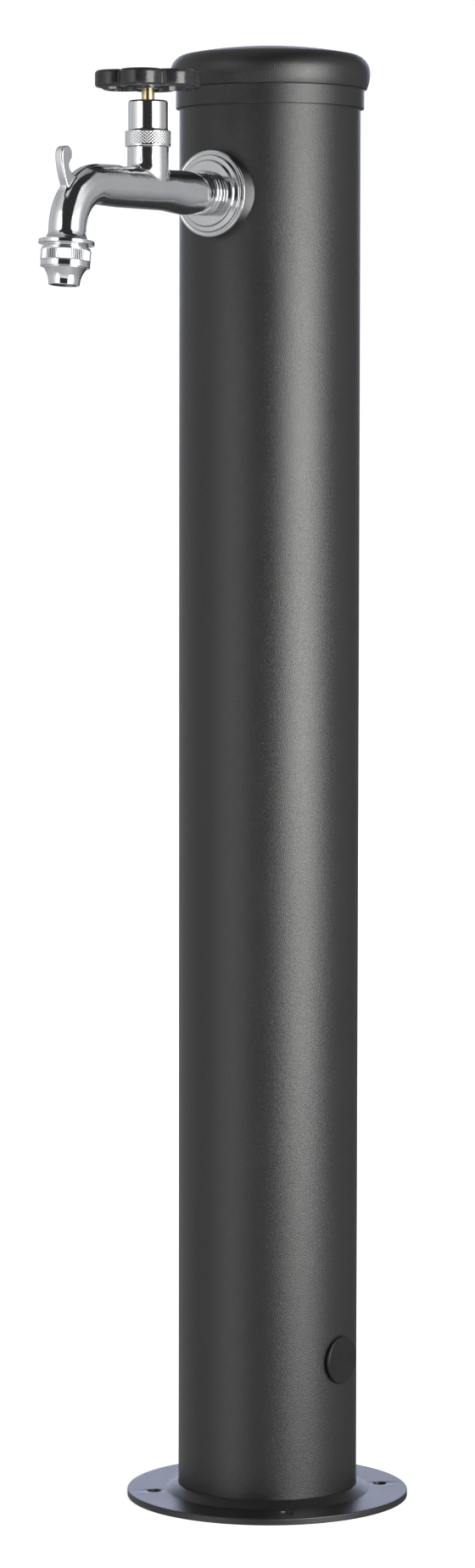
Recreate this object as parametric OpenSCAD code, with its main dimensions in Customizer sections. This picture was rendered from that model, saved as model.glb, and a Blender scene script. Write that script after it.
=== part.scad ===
// Garden tap fountain: a round column on a foot plate, with a bib tap near its top.
// Millimetres, +Z up. The origin is the centre of the foot plate's underside.
// The tap points along -Y, and the side hole near the foot faces +X.

/* [Column] */
// Outside diameter of the column tube
column_d = 120; // [112:1:130]
// Wall thickness of the column tube
column_wall = 2; // [1.5:0.5:3]
// Length of the column tube
column_len = 950; // [880:5:1000]

/* [Foot plate] */
// How far the plate reaches beyond the tube
plate_rim = 34.5; // [30:0.5:50]
// Thickness of the plate
plate_t = 4.5; // [4:0.5:8]
// How far the raised cone reaches beyond the tube at the plate
cone_run = 8.8; // [5:0.1:9]
// Height of the raised cone
cone_h = 4.5; // [3:0.5:8]
// Distance from the tube's outside to the anchor bolts' circle
bolt_offset = 17; // [16:0.5:20]
// Diameter of an anchor hole
bolt_hole_d = 9; // [7:0.5:11]
// Number of anchor holes
bolt_count = 4; // [3:1:6]
// Diameter of the opening under the column
opening_d = 90; // [60:1:100]

/* [Column cap] */
// How far the skirt reaches down over the tube
cap_cover = 26.2; // [18:0.2:34]
// Wall thickness of the skirt
cap_skirt_wall = 2.25; // [1.5:0.25:3.5]
// Height of the skirt below the seam
cap_skirt_h = 12.7; // [8:0.1:15]
// How far the dome's foot stands out from the skirt
cap_step = 1.6; // [1:0.1:2.5]
// How far the dome's side bulges outwards above its foot
cap_bulge = 2.3; // [1:0.1:3]
// Height of the dome's side, up to its widest place
cap_side_h = 11; // [8:0.5:14]
// Radius of the dome's shoulder
cap_shoulder_r = 12; // [8:0.5:16]
// Radius of the dome's crown
cap_crown_r = 300; // [220:5:400]
// Thickness of the crown
cap_t = 3; // [2:0.5:5]

/* [Side hole] */
// Height of the side hole above the plate
side_hole_up = 94; // [60:0.5:200]
// Diameter of the side hole
side_hole_d = 28; // [20:1:30]
// How far the plug's head reaches beyond the hole
plug_lip = 2; // [1.5:0.5:4]
// Thickness of the plug's head
plug_head_t = 2; // [1.5:0.5:4]
// Length of the plug's shank
plug_len = 10; // [8:0.5:16]
// Wall thickness of the plug's hollow shank
plug_wall = 2; // [1:0.5:3]

/* [Rosette] */
// Diameter of the rosette
rosette_d = 56.8; // [50:0.2:60]
// Distance from the column's face to the front of the rosette's edge
rosette_depth = 7.5; // [6:0.5:12]
// Thickness of the rosette's rounded edge
rosette_edge = 2.5; // [1.5:0.1:3.5]
// How far the skirt behind the edge stands in from it
rosette_skirt_in = 1.8; // [1:0.1:2.4]
// Height of each of the two steps on its face
rosette_step = 1.75; // [1:0.25:2.5]
// Width of the outer ring on its face
rosette_rim = 3.4; // [2:0.2:5]
// Width of the second ring on its face
rosette_ring = 3.6; // [2:0.2:4]
// Sheet thickness of the rosette
rosette_t = 1.4; // [1:0.1:2]

/* [Tap] */
// Distance from the tube's top down to the tap's axis
tap_drop = 84.5; // [78:0.5:160]
// Distance from the column's face to the valve's axis
valve_reach = 73; // [70:1:90]
// Distance from the valve's axis to the start of the bend
bend_reach = 53; // [45:1:60]
// Radius of the bend's centre line
bend_r = 30; // [28:1:40]
// Angle that the spout leans outwards
spout_lean = 5.5; // [0:0.5:10]
// Diameter of the threaded shank
shank_d = 26.4; // [25:0.1:26.6]
// How far the shank reaches inside the column, from the tube's outside
shank_len = 32; // [30:1:36]
// Diameter of the beads at the arm's root
bead_d = 29.2; // [28.6:0.2:32]
// Radius of each bead's rounding
bead_r = 1.7; // [1.2:0.1:2]
// Diameter of the arm at its root
arm_root_d = 27.2; // [26.8:0.2:28]
// Diameter of the arm
arm_d = 26.5; // [26:0.1:27.5]
// Diameter of the bend
bend_d = 24.6; // [23:0.2:26]
// Diameter of the spout
spout_d = 24; // [22:0.1:24.4]
// Diameter of the neck
neck_d = 26.7; // [26.2:0.1:28]
// Height of the neck's top above the arm's axis
neck_h = 26.5; // [24:0.5:32]
// Diameter of the waterway
waterway_d = 16; // [12:0.5:17]

/* [Bell and thread] */
// Length of the spout above the bell
spout_len = 3; // [2:0.2:10]
// Height of the bell
bell_h = 8.6; // [5:0.2:10]
// Diameter of the bell's rim
bell_d = 35.6; // [33:0.2:40]
// Height of the bell's rim
bell_edge = 2.6; // [1:0.2:4]
// Diameter of the spout's thread
spout_thread_d = 28.4; // [27.6:0.1:29]
// Length of the spout's thread below the bell's rim
spout_thread_len = 10.1; // [9.6:0.1:12]

/* [Outlet] */
// Distance from the bell's rim to the nut
nut_gap = 2; // [1:0.2:3]
// Diameter over the nut's serrated band
nut_d = 31.8; // [31:0.1:36]
// Length of the nut's top ring
nut_top_h = 1.4; // [1:0.1:2]
// Length of the nut's serrated band
nut_band_h = 7.1; // [6:0.1:8]
// Depth of a serration
serration = 0.3; // [0.2:0.05:0.5]
// Number of serrations round the nut
serration_count = 90; // [60:1:96]
// Thickness of the nut's inner lip
nut_lip_t = 1.2; // [0.8:0.1:1.6]
// Width of the nut's inner lip
nut_lip = 0.5; // [0.5:0.05:0.8]
// Thickness of the outlet washer
outlet_washer_t = 1.5; // [1:0.1:2]
// Thickness of the nozzle's flange
nozzle_flange_t = 1.6; // [1.2:0.1:2]
// Length of the nozzle below the nut
nozzle_len = 11; // [9:0.1:16]
// Diameter of the nozzle's end
nozzle_d = 19.5; // [19:0.1:22]
// How far the nozzle's wall leans in over its length
nozzle_taper = 1.3; // [0.5:0.1:1.8]
// Depth of the countersink in the nozzle's mouth
mouth_h = 1.5; // [0.5:0.1:3]
// Diameter of the countersink in the nozzle's mouth
mouth_d = 17.6; // [15:0.2:18.4]
// Diameter of the nozzle's mouth
mouth_bore_d = 13; // [11:0.5:13.5]
// Diameter of the jet insert
insert_d = 20.6; // [19:0.2:21.6]
// Thickness of the jet insert
insert_t = 2.5; // [2:0.1:3]
// Diameter of a hole in the jet insert
insert_hole_d = 3.6; // [2.5:0.1:4]

/* [Hook] */
// Thickness of the bucket hook
hook_t = 6.2; // [4:0.2:8]
// Height of the bucket hook
hook_h = 24.6; // [20:0.2:32]

/* [Headwork] */
// Wall of the neck round the headwork's thread
neck_wall = 3.1; // [2.5:0.1:3.5]
// Length of the headwork's thread
headwork_thread_len = 13; // [11:0.5:15]
// Thickness of the headwork's gasket
gasket_t = 1; // [0.8:0.1:1.5]
// Diameter of the headwork's flange
headwork_flange_d = 24.8; // [24:0.1:25]
// Thickness of the headwork's flange
headwork_flange_h = 5; // [4:0.5:6]
// Diameter of the headwork's upper stem
headwork_stem_d = 17; // [16:0.5:17]
// Height of the headwork's upper stem
headwork_stem_h = 11.5; // [11:0.5:12]
// Diameter of the packing
packing_d = 13; // [12:0.5:13.5]
// Height of the packing
packing_h = 5; // [4:0.5:5.5]
// Distance across the flats of the gland nut
gland_flats = 19; // [18:0.5:19]
// Height of the gland nut
gland_h = 10; // [9:0.5:10.5]

/* [Bonnet cover] */
// Height of the cover, ring included
cover_h = 29.5; // [28:0.5:34]
// Diameter of the cover's sleeve
cover_d = 25.5; // [25.3:0.1:27]
// Diameter of the cover's knurled ring
ring_d = 29.5; // [28.5:0.1:32]
// Height of the cover's knurled ring
ring_h = 10; // [8:0.5:11]
// Height of the flare between ring and sleeve
flare_h = 1.8; // [1:0.2:3]
// Wall thickness of the cover's sleeve
cover_wall = 1.3; // [1:0.1:1.4]
// Radius of the rounding round the cover's top
cover_round = 1.5; // [0.8:0.1:2]

/* [Spindle and jumper] */
// Diameter of the spindle's stem
stem_d = 8.3; // [7.5:0.1:9]
// Diameter of the spindle's thread
spindle_thread_d = 12; // [11:0.5:13]
// Length of the spindle's thread
spindle_thread_len = 9; // [7:0.5:10]
// Height by which the spindle rises when the tap opens
lift = 6; // [4:0.5:6.5]
// Length of spindle that shows between cover and handwheel
stem_show = 7.5; // [3:0.5:9]
// Width across the spindle's square end
square_w = 5.8; // [5:0.1:6]
// Diameter of the seat's hole
seat_d = 12; // [11:0.5:13]
// Width of the seat's lip
seat_lip = 1.8; // [1.2:0.1:2.2]
// Height of the seat's lip
seat_lip_h = 1.5; // [1:0.1:2]
// Thickness of the valve washer
valve_washer_t = 3; // [2.5:0.1:4]
// Thickness of the jumper's disc
jumper_t = 2.5; // [2:0.1:3]
// Diameter of the jumper's stem
jumper_stem_d = 6; // [5:0.2:6.4]
// Length of the jumper's stem
jumper_stem_len = 9.5; // [8:0.1:10]
// Diameter of the stud under the jumper
stud_d = 4; // [3:0.2:4.4]
// Distance across the flats of the nut under the jumper
washer_nut_flats = 8; // [7:0.2:8.6]
// Height of the nut under the jumper
washer_nut_h = 3; // [2:0.1:3.2]

/* [Handwheel] */
// Diameter over the handwheel's lobes
wheel_d = 70; // [62:0.5:74]
// Height of the handwheel
wheel_h = 11; // [10:0.5:15]
// Number of lobes
lobe_count = 6; // [5:1:8]
// Radius of a lobe
lobe_r = 14.5; // [14.5:0.5:18]
// Rounding of the rim's edges
wheel_round = 2.4; // [2:0.1:4.5]
// Width of the rim
wheel_rim = 4; // [3:0.5:8]
// Depth of the recess in the wheel's top
wheel_top_depth = 3.5; // [3.5:0.5:5]
// Depth of the recess in the wheel's underside
wheel_under_depth = 3.5; // [2:0.5:5]
// Diameter of the wheel's hub
hub_d = 14; // [12:0.5:18]
// Diameter of the wheel's screw
screw_d = 4; // [3:0.5:4]
// Length of the wheel's screw in the spindle
screw_len = 8; // [6:0.5:9]
// Diameter of the screw's head
screw_head_d = 8; // [7:0.5:9]
// Height of the screw's head
screw_head_h = 2.4; // [2:0.1:2.8]
// Thickness of the wheel's washer
wheel_washer_t = 1; // [0.8:0.1:1.2]
// Diameter of the wheel's washer
wheel_washer_d = 11; // [10:0.5:12]

/* [Tap fixing] */
// Diameter of the inner saddle
inner_saddle_d = 40; // [38:0.5:42]
// Thickness of the inner saddle at its middle
inner_saddle_t = 6; // [5.5:0.5:8]
// Distance across the flats of the backnut
backnut_flats = 36; // [34:0.5:36]
// Thickness of the backnut
backnut_t = 7; // [5:0.5:7.5]

/* [Water supply] */
// Outside diameter of the supply pipe
pipe_d = 18; // [15:0.5:18]
// Wall thickness of the supply pipe
pipe_wall = 1; // [0.8:0.1:1.2]
// Diameter of the elbow's body
elbow_d = 24; // [24:0.5:26]
// Diameter of the elbow's socket
socket_d = 34; // [33:0.5:36]
// Distance from the elbow's centre down to its compression end
elbow_down = 20; // [18:0.5:30]
// Thickness of the elbow's sealing washer
elbow_washer_t = 2; // [1.5:0.1:3]
// Diameter of the compression threads
comp_d = 23; // [22:0.5:23.5]
// Length of the compression threads
comp_len = 11; // [9:0.5:14]
// Height of a compression ring
olive_h = 4; // [3:0.5:5]
// Thickness of a compression nut's floor
comp_floor = 3; // [2:0.5:4]
// Length of thread left bare by a compression nut
comp_bare = 3; // [2:0.5:4]
// Distance across the flats of a compression nut
comp_flats = 28; // [27.5:0.5:30]
// Height of the inlet coupling's foot above the ground
inlet_up = 22; // [15:1:40]
// Height of the inlet coupling's hexagon
inlet_h = 20; // [19.5:0.5:26]
// Distance across the flats of the inlet coupling
inlet_flats = 27; // [26:0.5:30]
// Bore of the inlet's female thread
inlet_bore_d = 18.6; // [18.6:0.1:20]
// Depth of the inlet's female thread
inlet_depth = 14; // [12:0.5:14]

/* [Clearances] */
// Radial clearance of threads and turning fits
fit_gap = 0.05; // [0.03:0.01:0.08]
// Radial clearance of the cap on the tube
cap_gap = 0.1; // [0.05:0.05:0.2]
// Radial clearance of the plug in its hole
plug_gap = 0.1; // [0.05:0.05:0.2]
// Radial clearance of the shank in the tube's hole
hole_gap = 0.3; // [0.1:0.1:0.5]
// Gap that keeps parts free where they close on each other
seat_gap = 0.1; // [0.05:0.01:0.15]

/* [Hidden] */
$fn = 96;

// Overrun of every cut past the face that it opens
cut_over = 1;

// Column and cap: small sizes, then heights and radii
cone_top_wall = 0.6;
cap_seat_w = 10;
plug_chamfer = 0.5;
face_r = column_d / 2;
inside_r = face_r - column_wall;
column_top = plate_t + column_len;
plate_d = column_d + 2 * plate_rim;
bolt_circle_d = column_d + 2 * bolt_offset;
side_hole_z = plate_t + side_hole_up;
cap_foot_z = column_top - cap_cover;
cap_bore_r = face_r + cap_gap;
skirt_r = cap_bore_r + cap_skirt_wall;
dome_foot_r = skirt_r + cap_step;
dome_r = dome_foot_r + cap_bulge;
shoulder_c = dome_r - cap_shoulder_r;
crown_drop = sqrt(pow(cap_crown_r - cap_shoulder_r, 2) - pow(shoulder_c, 2));
crown_angle = atan2(crown_drop, shoulder_c);
seam_z = cap_foot_z + cap_skirt_h;
crown_centre_z = seam_z + cap_side_h - crown_drop;

// Places along the tap, outwards from the column's axis, and the height of its axis
tap_z = column_top - tap_drop;
shank_in = face_r - shank_len;
shank_hole_d = shank_d + 2 * hole_gap;
rosette_face = face_r + rosette_depth + 2 * rosette_step;
beads_end = rosette_face + 4 * bead_r;
valve_r = face_r + valve_reach;
bend_start = valve_r + bend_reach;
bend_taper = 20;
// Straight pieces run a little way into the bend, and are a hair wider
lap = 1;
lap_step = 0.1;
straight_d = bend_d + 2 * lap_step;
bend_angle = 90 - spout_lean;
spout_r = bend_start + bend_r * cos(spout_lean);
spout_z = tap_z - bend_r + bend_r * sin(spout_lean);

// Rosette and fixing
ring_1_d = rosette_d - 2 * rosette_rim;
ring_2_d = ring_1_d - 2 * rosette_ring;
skirt_d = rosette_d - 2 * rosette_skirt_in;
skirt_back = sqrt(pow(face_r, 2) - pow(skirt_d / 2, 2));
saddle_play = 0.5;
backnut_face = inside_r - inner_saddle_t;
socket_floor = shank_in - elbow_washer_t;
socket_play = 1;
socket_mouth = backnut_face - backnut_t - socket_play;

// Valve: heights are counted from the top of the neck
neck_top_z = tap_z + neck_h;
neck_bore_d = neck_d - 2 * neck_wall;
chamber_step = 0.85;
chamber_d = neck_bore_d - 2 * chamber_step;
floor_drop = 2;
chamber_floor = -neck_h - floor_drop;
seat_top = chamber_floor + seat_lip_h;
washer_foot = seat_top + seat_gap;
jumper_foot = washer_foot + valve_washer_t;
jumper_top = jumper_foot + jumper_t;
valve_disc_d = seat_d + 2 * seat_lip;
spindle_foot = jumper_top + seat_gap;
spindle_foot_d = 10;
lift_spare = 0.5;
headwork_bore_top = gasket_t + headwork_flange_h / 2;
thread_top = headwork_bore_top - lift - lift_spare;
flange_top = gasket_t + headwork_flange_h;
headwork_top = flange_top + headwork_stem_h;
gland_nose = 2.3;
gland_grip = 6;
packing_foot = headwork_top - gland_nose - packing_h;
cover_top_t = 2;
cover_ring_chamfer = 0.4;

// Handwheel: heights are counted from the top of the neck
wheel_foot = cover_h + stem_show;
square_up = 2;
hub_top = wheel_foot + wheel_h - wheel_top_depth;
square_top = hub_top - 2 * seat_gap;
lobe_c = wheel_d / 2 - lobe_r;
lobe_start = 26;

// Waterways in the tap
passage_d = 8;
passage_wall = 2.25;
passage_z = arm_d / 2 - passage_wall - passage_d / 2;
upper_passage_d = 9;
web_t = 2.1;
web_in = valve_r - chamber_d / 2 - web_t;
web_out = valve_r + chamber_d / 2 + web_t;

// Places along the spout, down from the end of the bend
bell_rim = spout_len + bell_h;
spout_end = bell_rim + spout_thread_len;
nut_top = bell_rim + nut_gap;
nozzle_top = spout_end + outlet_washer_t;
lip_top = nozzle_top + nozzle_flange_t;
nut_end = lip_top + nut_lip_t;
nut_bore_d = spout_thread_d + 2 * fit_gap;
lip_bore_d = nut_bore_d - 2 * nut_lip;
shoulder_d = lip_bore_d - 2 * fit_gap;
shoulder_h = 0.3;
nozzle_end = nut_end + nozzle_len;
band_foot = nut_top + nut_top_h + nut_band_h;
nut_ring_in = 0.4;
nut_foot_in = 0.15;
nut_chamfer = 0.5;
insert_foot = nozzle_top + insert_t;
outlet_washer_bore_d = 18;
insert_holes = 6;
insert_ring_share = 0.32;

// Water supply
pipe_bore_d = pipe_d + 2 * fit_gap;
elbow_end_z = tap_z - elbow_down;
pipe_seat = 4;
coupling_top_z = inlet_up + inlet_h;
pipe_foot_z = coupling_top_z - pipe_seat;
pipe_top_z = elbow_end_z + pipe_seat;
comp_bore_h = comp_len + olive_h;
olive_chamfer = 0.8;

// The bucket hook's outline, in shares of its height, from its foot on the bend
hook_angle = 41;
hook_shares = [
    [-0.024, -0.22], [0.078, 0.017], [0.155, 0.196], [0.216, 0.387], [0.261, 0.578], [0.277, 0.77],
    [0.241, 0.925], [0.119, 1.005], [-0.032, 1.00], [-0.141, 0.90], [-0.154, 0.737], [-0.076, 0.627],
    [-0.036, 0.546], [-0.068, 0.42], [-0.182, 0.318], [-0.43, 0.098]
];
hook_steps = 4;

// Colours
powder = [0.19, 0.20, 0.21];
chrome = [0.80, 0.81, 0.83];
brass = [0.78, 0.62, 0.28];
copper = [0.72, 0.42, 0.27];
rubber = [0.10, 0.10, 0.10];
black = [0.07, 0.07, 0.07];
steel = [0.62, 0.63, 0.65];
white = [0.90, 0.90, 0.88];

// Points of an arc round a centre, from one angle to another
function arc(c, r, from, to, steps) =
    [for (i = [0:steps]) c + r * [cos(from + (to - from) * i / steps), sin(from + (to - from) * i / steps)]];

// A point of the smooth curve through p1 and p2, with p0 and p3 as neighbours
function curve_at(p0, p1, p2, p3, t) =
    0.5 * (2 * p1 + (p2 - p0) * t + (2 * p0 - 5 * p1 + 4 * p2 - p3) * t * t
    + (3 * p1 - p0 - 3 * p2 + p3) * t * t * t);

// A closed smooth curve through a ring of points
function smooth(pts, steps) =
    let (n = len(pts))
    [for (i = [0:n - 1], j = [0:steps - 1])
        curve_at(pts[(i + n - 1) % n], pts[i], pts[(i + 1) % n], pts[(i + 2) % n], j / steps)];

// Local +X points outwards along the tap
module along_tap() {
    rotate([0, 0, -90]) children();
}

// A place on the tap's axis with local +Z pointing outwards along it
module on_arm(place) {
    along_tap() translate([place, 0, tap_z]) rotate([0, 90, 0]) children();
}

// The valve's axis, from the top of the neck
module on_valve() {
    along_tap() translate([valve_r, 0, neck_top_z]) children();
}

// The spout's axis, from the end of the bend, with local +Z pointing down it
module on_spout() {
    along_tap() translate([spout_r, 0, spout_z]) rotate([0, 180 - spout_lean, 0]) children();
}

// A straight piece of round bar from one height to another
module bar(from, to, d) {
    translate([0, 0, from]) cylinder(h = to - from, d = d);
}

// A ring between two heights
module ring(from, to, d, bore) {
    difference() {
        bar(from, to, d);
        bar(from - cut_over, to + cut_over, bore);
    }
}

// A hexagon bar between two heights, by its distance across the flats
module hex_bar(from, to, flats) {
    translate([0, 0, from]) cylinder(h = to - from, d = flats / cos(30), $fn = 6);
}

module base_flange() color(powder) {
    cone_foot_r = face_r + cone_run;
    difference() {
        union() {
            bar(0, plate_t, plate_d);
            translate([0, 0, plate_t])
                cylinder(h = cone_h, r1 = cone_foot_r, r2 = face_r + fit_gap + cone_top_wall);
        }
        bar(plate_t, plate_t + cone_h + cut_over, column_d + 2 * fit_gap);
        bar(-cut_over, plate_t + cut_over, opening_d);
        for (i = [0:bolt_count - 1])
            rotate([0, 0, (i + 0.5) * 360 / bolt_count])
                translate([bolt_circle_d / 2, 0, 0])
                    bar(-cut_over, plate_t + cut_over, bolt_hole_d);
    }
}

module column_tube() color(powder) {
    difference() {
        ring(plate_t, column_top, column_d, 2 * inside_r);
        on_arm(0) bar(0, face_r + cut_over, shank_hole_d);
        translate([0, 0, side_hole_z]) rotate([0, 90, 0]) bar(0, face_r + cut_over, side_hole_d);
    }
}

module column_cap() color(powder) {
    side_steps = 6;
    shoulder = [shoulder_c, cap_skirt_h + cap_side_h];
    crown = [0, cap_skirt_h + cap_side_h - crown_drop];
    side = [for (i = [0:side_steps - 1])
        let (t = i / side_steps)
        [dome_foot_r + cap_bulge * (1 - pow(1 - t, 2)), cap_skirt_h + cap_side_h * t]];
    difference() {
        translate([0, 0, cap_foot_z])
            rotate_extrude()
                polygon(concat(
                    [[0, 0], [skirt_r, 0], [skirt_r, cap_skirt_h]],
                    side,
                    arc(shoulder, cap_shoulder_r, 0, crown_angle, 10),
                    arc(crown, cap_crown_r, crown_angle, 90, 10)
                ));
        bar(cap_foot_z - cut_over, column_top, 2 * cap_bore_r);
        intersection() {
            bar(cap_foot_z, crown_centre_z + cap_crown_r, 2 * (face_r - cap_seat_w));
            translate([0, 0, crown_centre_z]) sphere(r = cap_crown_r - cap_t, $fn = 360);
        }
    }
}

module side_hole_plug() color(black) {
    head_d = side_hole_d + 2 * plug_lip;
    shank_d = side_hole_d - 2 * plug_gap;
    translate([face_r, 0, side_hole_z]) rotate([0, 90, 0]) {
        bar(0, plug_head_t - plug_chamfer, head_d);
        translate([0, 0, plug_head_t - plug_chamfer])
            cylinder(h = plug_chamfer, d1 = head_d, d2 = head_d - 2 * plug_chamfer);
        difference() {
            bar(-plug_len, 0, shank_d);
            bar(-plug_len - cut_over, -plug_wall, shank_d - 2 * plug_wall);
        }
    }
}

// Everything behind the column's face, to cut what lies on it
module column_face() {
    bar(tap_z - rosette_d, tap_z + rosette_d, column_d + 2 * fit_gap);
}

module saddle_washer() color(rubber) {
    inset = 2 * rosette_t + 2 * saddle_play;
    rim_front = face_r + rosette_depth - rosette_t;
    difference() {
        on_arm(0) difference() {
            union() {
                bar(skirt_back, rim_front, skirt_d - inset);
                bar(skirt_back, rosette_face - rosette_t, ring_2_d - inset);
            }
            bar(skirt_back - cut_over, rosette_face + cut_over, shank_hole_d);
        }
        column_face();
    }
}

module wall_rosette() color(chrome) {
    depth_1 = rosette_depth + rosette_step;
    depth_2 = depth_1 + rosette_step;
    back = skirt_back - face_r;
    edge_r = rosette_edge / 2;
    edge_c = rosette_depth - edge_r;
    difference() {
        on_arm(face_r) difference() {
            union() {
                bar(back, edge_c, skirt_d);
                bar(rosette_depth - rosette_edge, rosette_depth, rosette_d - rosette_edge);
                translate([0, 0, edge_c])
                    rotate_extrude() translate([rosette_d / 2 - edge_r, 0]) circle(r = edge_r, $fn = 32);
                bar(edge_c, depth_1, ring_1_d);
                bar(edge_c, depth_2, ring_2_d);
            }
            bar(back - cut_over, rosette_depth - rosette_t, skirt_d - 2 * rosette_t);
            bar(0, depth_1 - rosette_t, ring_1_d - 2 * rosette_t);
            bar(0, depth_2 - rosette_t, ring_2_d - 2 * rosette_t);
            bar(0, depth_2 + cut_over, shank_hole_d);
        }
        column_face();
    }
}

module inner_saddle() color(rubber) {
    intersection() {
        on_arm(0) ring(backnut_face, face_r, inner_saddle_d, shank_hole_d);
        bar(tap_z - inner_saddle_d, tap_z + inner_saddle_d, 2 * (inside_r - fit_gap));
    }
}

module shank_backnut() color(brass) {
    on_arm(backnut_face - backnut_t) difference() {
        hex_bar(0, backnut_t, backnut_flats);
        bar(-cut_over, backnut_t + cut_over, shank_d + 2 * fit_gap);
    }
}

module elbow_washer() color(rubber) {
    on_arm(0) ring(socket_floor, shank_in, shank_d, waterway_d);
}

module supply_elbow() color(brass) {
    difference() {
        union() {
            on_arm(0) bar(0, socket_floor, elbow_d);
            on_arm(0) bar(socket_floor - elbow_washer_t, socket_mouth, socket_d);
            translate([0, 0, tap_z]) sphere(d = elbow_d);
            bar(elbow_end_z, tap_z, elbow_d);
            bar(elbow_end_z - comp_len, elbow_end_z, comp_d);
        }
        on_arm(0) bar(0, socket_floor + cut_over, waterway_d);
        on_arm(0) bar(socket_floor, socket_mouth + cut_over, shank_d + 2 * fit_gap);
        translate([0, 0, tap_z]) sphere(d = waterway_d);
        bar(elbow_end_z, tap_z, waterway_d);
        bar(elbow_end_z - comp_len - cut_over, pipe_top_z, pipe_bore_d);
    }
}

// The two ends of the pipe: children point away from the fitting that holds the pipe
module at_pipe_ends() {
    translate([0, 0, coupling_top_z]) children();
    translate([0, 0, elbow_end_z]) mirror([0, 0, 1]) children();
}

module compression_nuts() color(brass) {
    at_pipe_ends() difference() {
        hex_bar(comp_bare, comp_bore_h + comp_floor, comp_flats);
        bar(comp_bare - cut_over, comp_bore_h, comp_d + 2 * fit_gap);
        bar(comp_bare, comp_bore_h + comp_floor + cut_over, pipe_bore_d);
    }
}

module compression_olives() color(copper) {
    foot_d = comp_d - 2 * olive_chamfer;
    at_pipe_ends() difference() {
        union() {
            translate([0, 0, comp_len]) cylinder(h = olive_chamfer, d1 = foot_d, d2 = comp_d);
            bar(comp_len + olive_chamfer, comp_bore_h - olive_chamfer, comp_d);
            translate([0, 0, comp_bore_h - olive_chamfer]) cylinder(h = olive_chamfer, d1 = comp_d, d2 = foot_d);
        }
        bar(0, comp_bore_h + cut_over, pipe_bore_d);
    }
}

module supply_pipe() color(copper) {
    ring(pipe_foot_z, pipe_top_z, pipe_d, pipe_d - 2 * pipe_wall);
}

module inlet_coupling() color(brass) {
    difference() {
        union() {
            hex_bar(inlet_up, coupling_top_z, inlet_flats);
            bar(coupling_top_z, coupling_top_z + comp_len, comp_d);
        }
        bar(inlet_up - cut_over, inlet_up + inlet_depth, inlet_bore_d);
        bar(inlet_up, coupling_top_z, waterway_d);
        bar(pipe_foot_z, coupling_top_z + comp_len + cut_over, pipe_bore_d);
    }
}

// The tap's outside: shank, beads, arm, neck, bend, spout, bell and thread
module tap_outside() {
    bead_c = bead_d / 2 - bead_r;
    arm_taper_end = valve_r - neck_d / 2;
    bell_steps = 10;
    bell = [for (i = [0:bell_steps])
        let (a = 90 * i / bell_steps)
        [spout_d / 2 + (bell_d - spout_d) / 2 * (1 - cos(a)), spout_len + (bell_h - bell_edge) * sin(a)]];
    on_arm(0) {
        bar(shank_in, beads_end, shank_d);
        bar(rosette_face, beads_end, arm_root_d);
        for (i = [0:1])
            translate([0, 0, rosette_face + (2 * i + 1) * bead_r])
                rotate_extrude() translate([bead_c, 0]) circle(r = bead_r, $fn = 32);
        translate([0, 0, beads_end])
            cylinder(h = arm_taper_end - beads_end, d1 = arm_root_d, d2 = arm_d);
        bar(arm_taper_end, bend_start - bend_taper, arm_d);
        translate([0, 0, bend_start - bend_taper])
            cylinder(h = bend_taper - lap, d1 = arm_d, d2 = straight_d);
        bar(bend_start - lap, bend_start + lap, straight_d);
    }
    on_valve() bar(-neck_h, 0, neck_d);
    bend(bend_d);
    on_spout() {
        bar(-lap, lap, straight_d);
        translate([0, 0, lap]) cylinder(h = spout_len - lap, d1 = straight_d, d2 = spout_d);
        rotate_extrude() polygon(concat([[0, spout_len]], bell, [[bell_d / 2, bell_rim], [0, bell_rim]]));
        bar(bell_rim, spout_end, spout_thread_d);
    }
}

// The bend between arm and spout, as a round bar
module bend(d) {
    along_tap() translate([bend_start, 0, tap_z - bend_r])
        rotate([90, 0, 0]) rotate([0, 0, spout_lean])
            rotate_extrude(angle = bend_angle) translate([bend_r, 0]) circle(d = d);
}

// The bucket hook, a plate in the tap's own plane
module bucket_hook() {
    foot_r = bend_r + bend_d / 2;
    foot = [bend_start + foot_r * cos(hook_angle), tap_z - bend_r + foot_r * sin(hook_angle)];
    along_tap() translate([foot.x, hook_t / 2, foot.y])
        rotate([90, 0, 0]) linear_extrude(hook_t) polygon(smooth(hook_h * hook_shares, hook_steps));
}

// The waterway from the shank through the seat to the spout
module tap_waterway() {
    on_arm(0) {
        bar(shank_in - cut_over, web_in, waterway_d);
        translate([passage_z, 0, 0]) bar(web_in - passage_d, valve_r, passage_d);
        translate([-upper_passage_d / 2, 0, 0]) bar(valve_r, web_out + upper_passage_d, upper_passage_d);
        bar(web_out, bend_start + lap, waterway_d);
    }
    on_valve() {
        bar(-neck_h - passage_z, seat_top + cut_over, seat_d);
        ring(chamber_floor, seat_top, chamber_d, valve_disc_d);
        bar(seat_top, cut_over, chamber_d);
        bar(-headwork_thread_len, cut_over, neck_bore_d);
    }
    bend(waterway_d - 2 * lap_step);
    on_spout() bar(-lap, spout_end + cut_over, waterway_d);
}

module tap_body() color(chrome) {
    difference() {
        union() {
            tap_outside();
            bucket_hook();
        }
        tap_waterway();
    }
}

module headwork_gasket() color(rubber) {
    on_valve() ring(0, gasket_t, headwork_flange_d, neck_bore_d);
}

module headwork() color(brass) {
    on_valve() difference() {
        union() {
            bar(-headwork_thread_len, gasket_t, neck_bore_d - 2 * fit_gap);
            bar(gasket_t, flange_top, headwork_flange_d);
            bar(flange_top, headwork_top, headwork_stem_d);
        }
        bar(-headwork_thread_len - cut_over, headwork_bore_top, spindle_thread_d + 2 * fit_gap);
        bar(0, headwork_top, stem_d + 2 * fit_gap);
        bar(packing_foot, headwork_top + cut_over, packing_d);
    }
}

module gland_packing() color(white) {
    on_valve() ring(packing_foot, packing_foot + packing_h, packing_d - 2 * fit_gap, stem_d + 2 * fit_gap);
}

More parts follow.
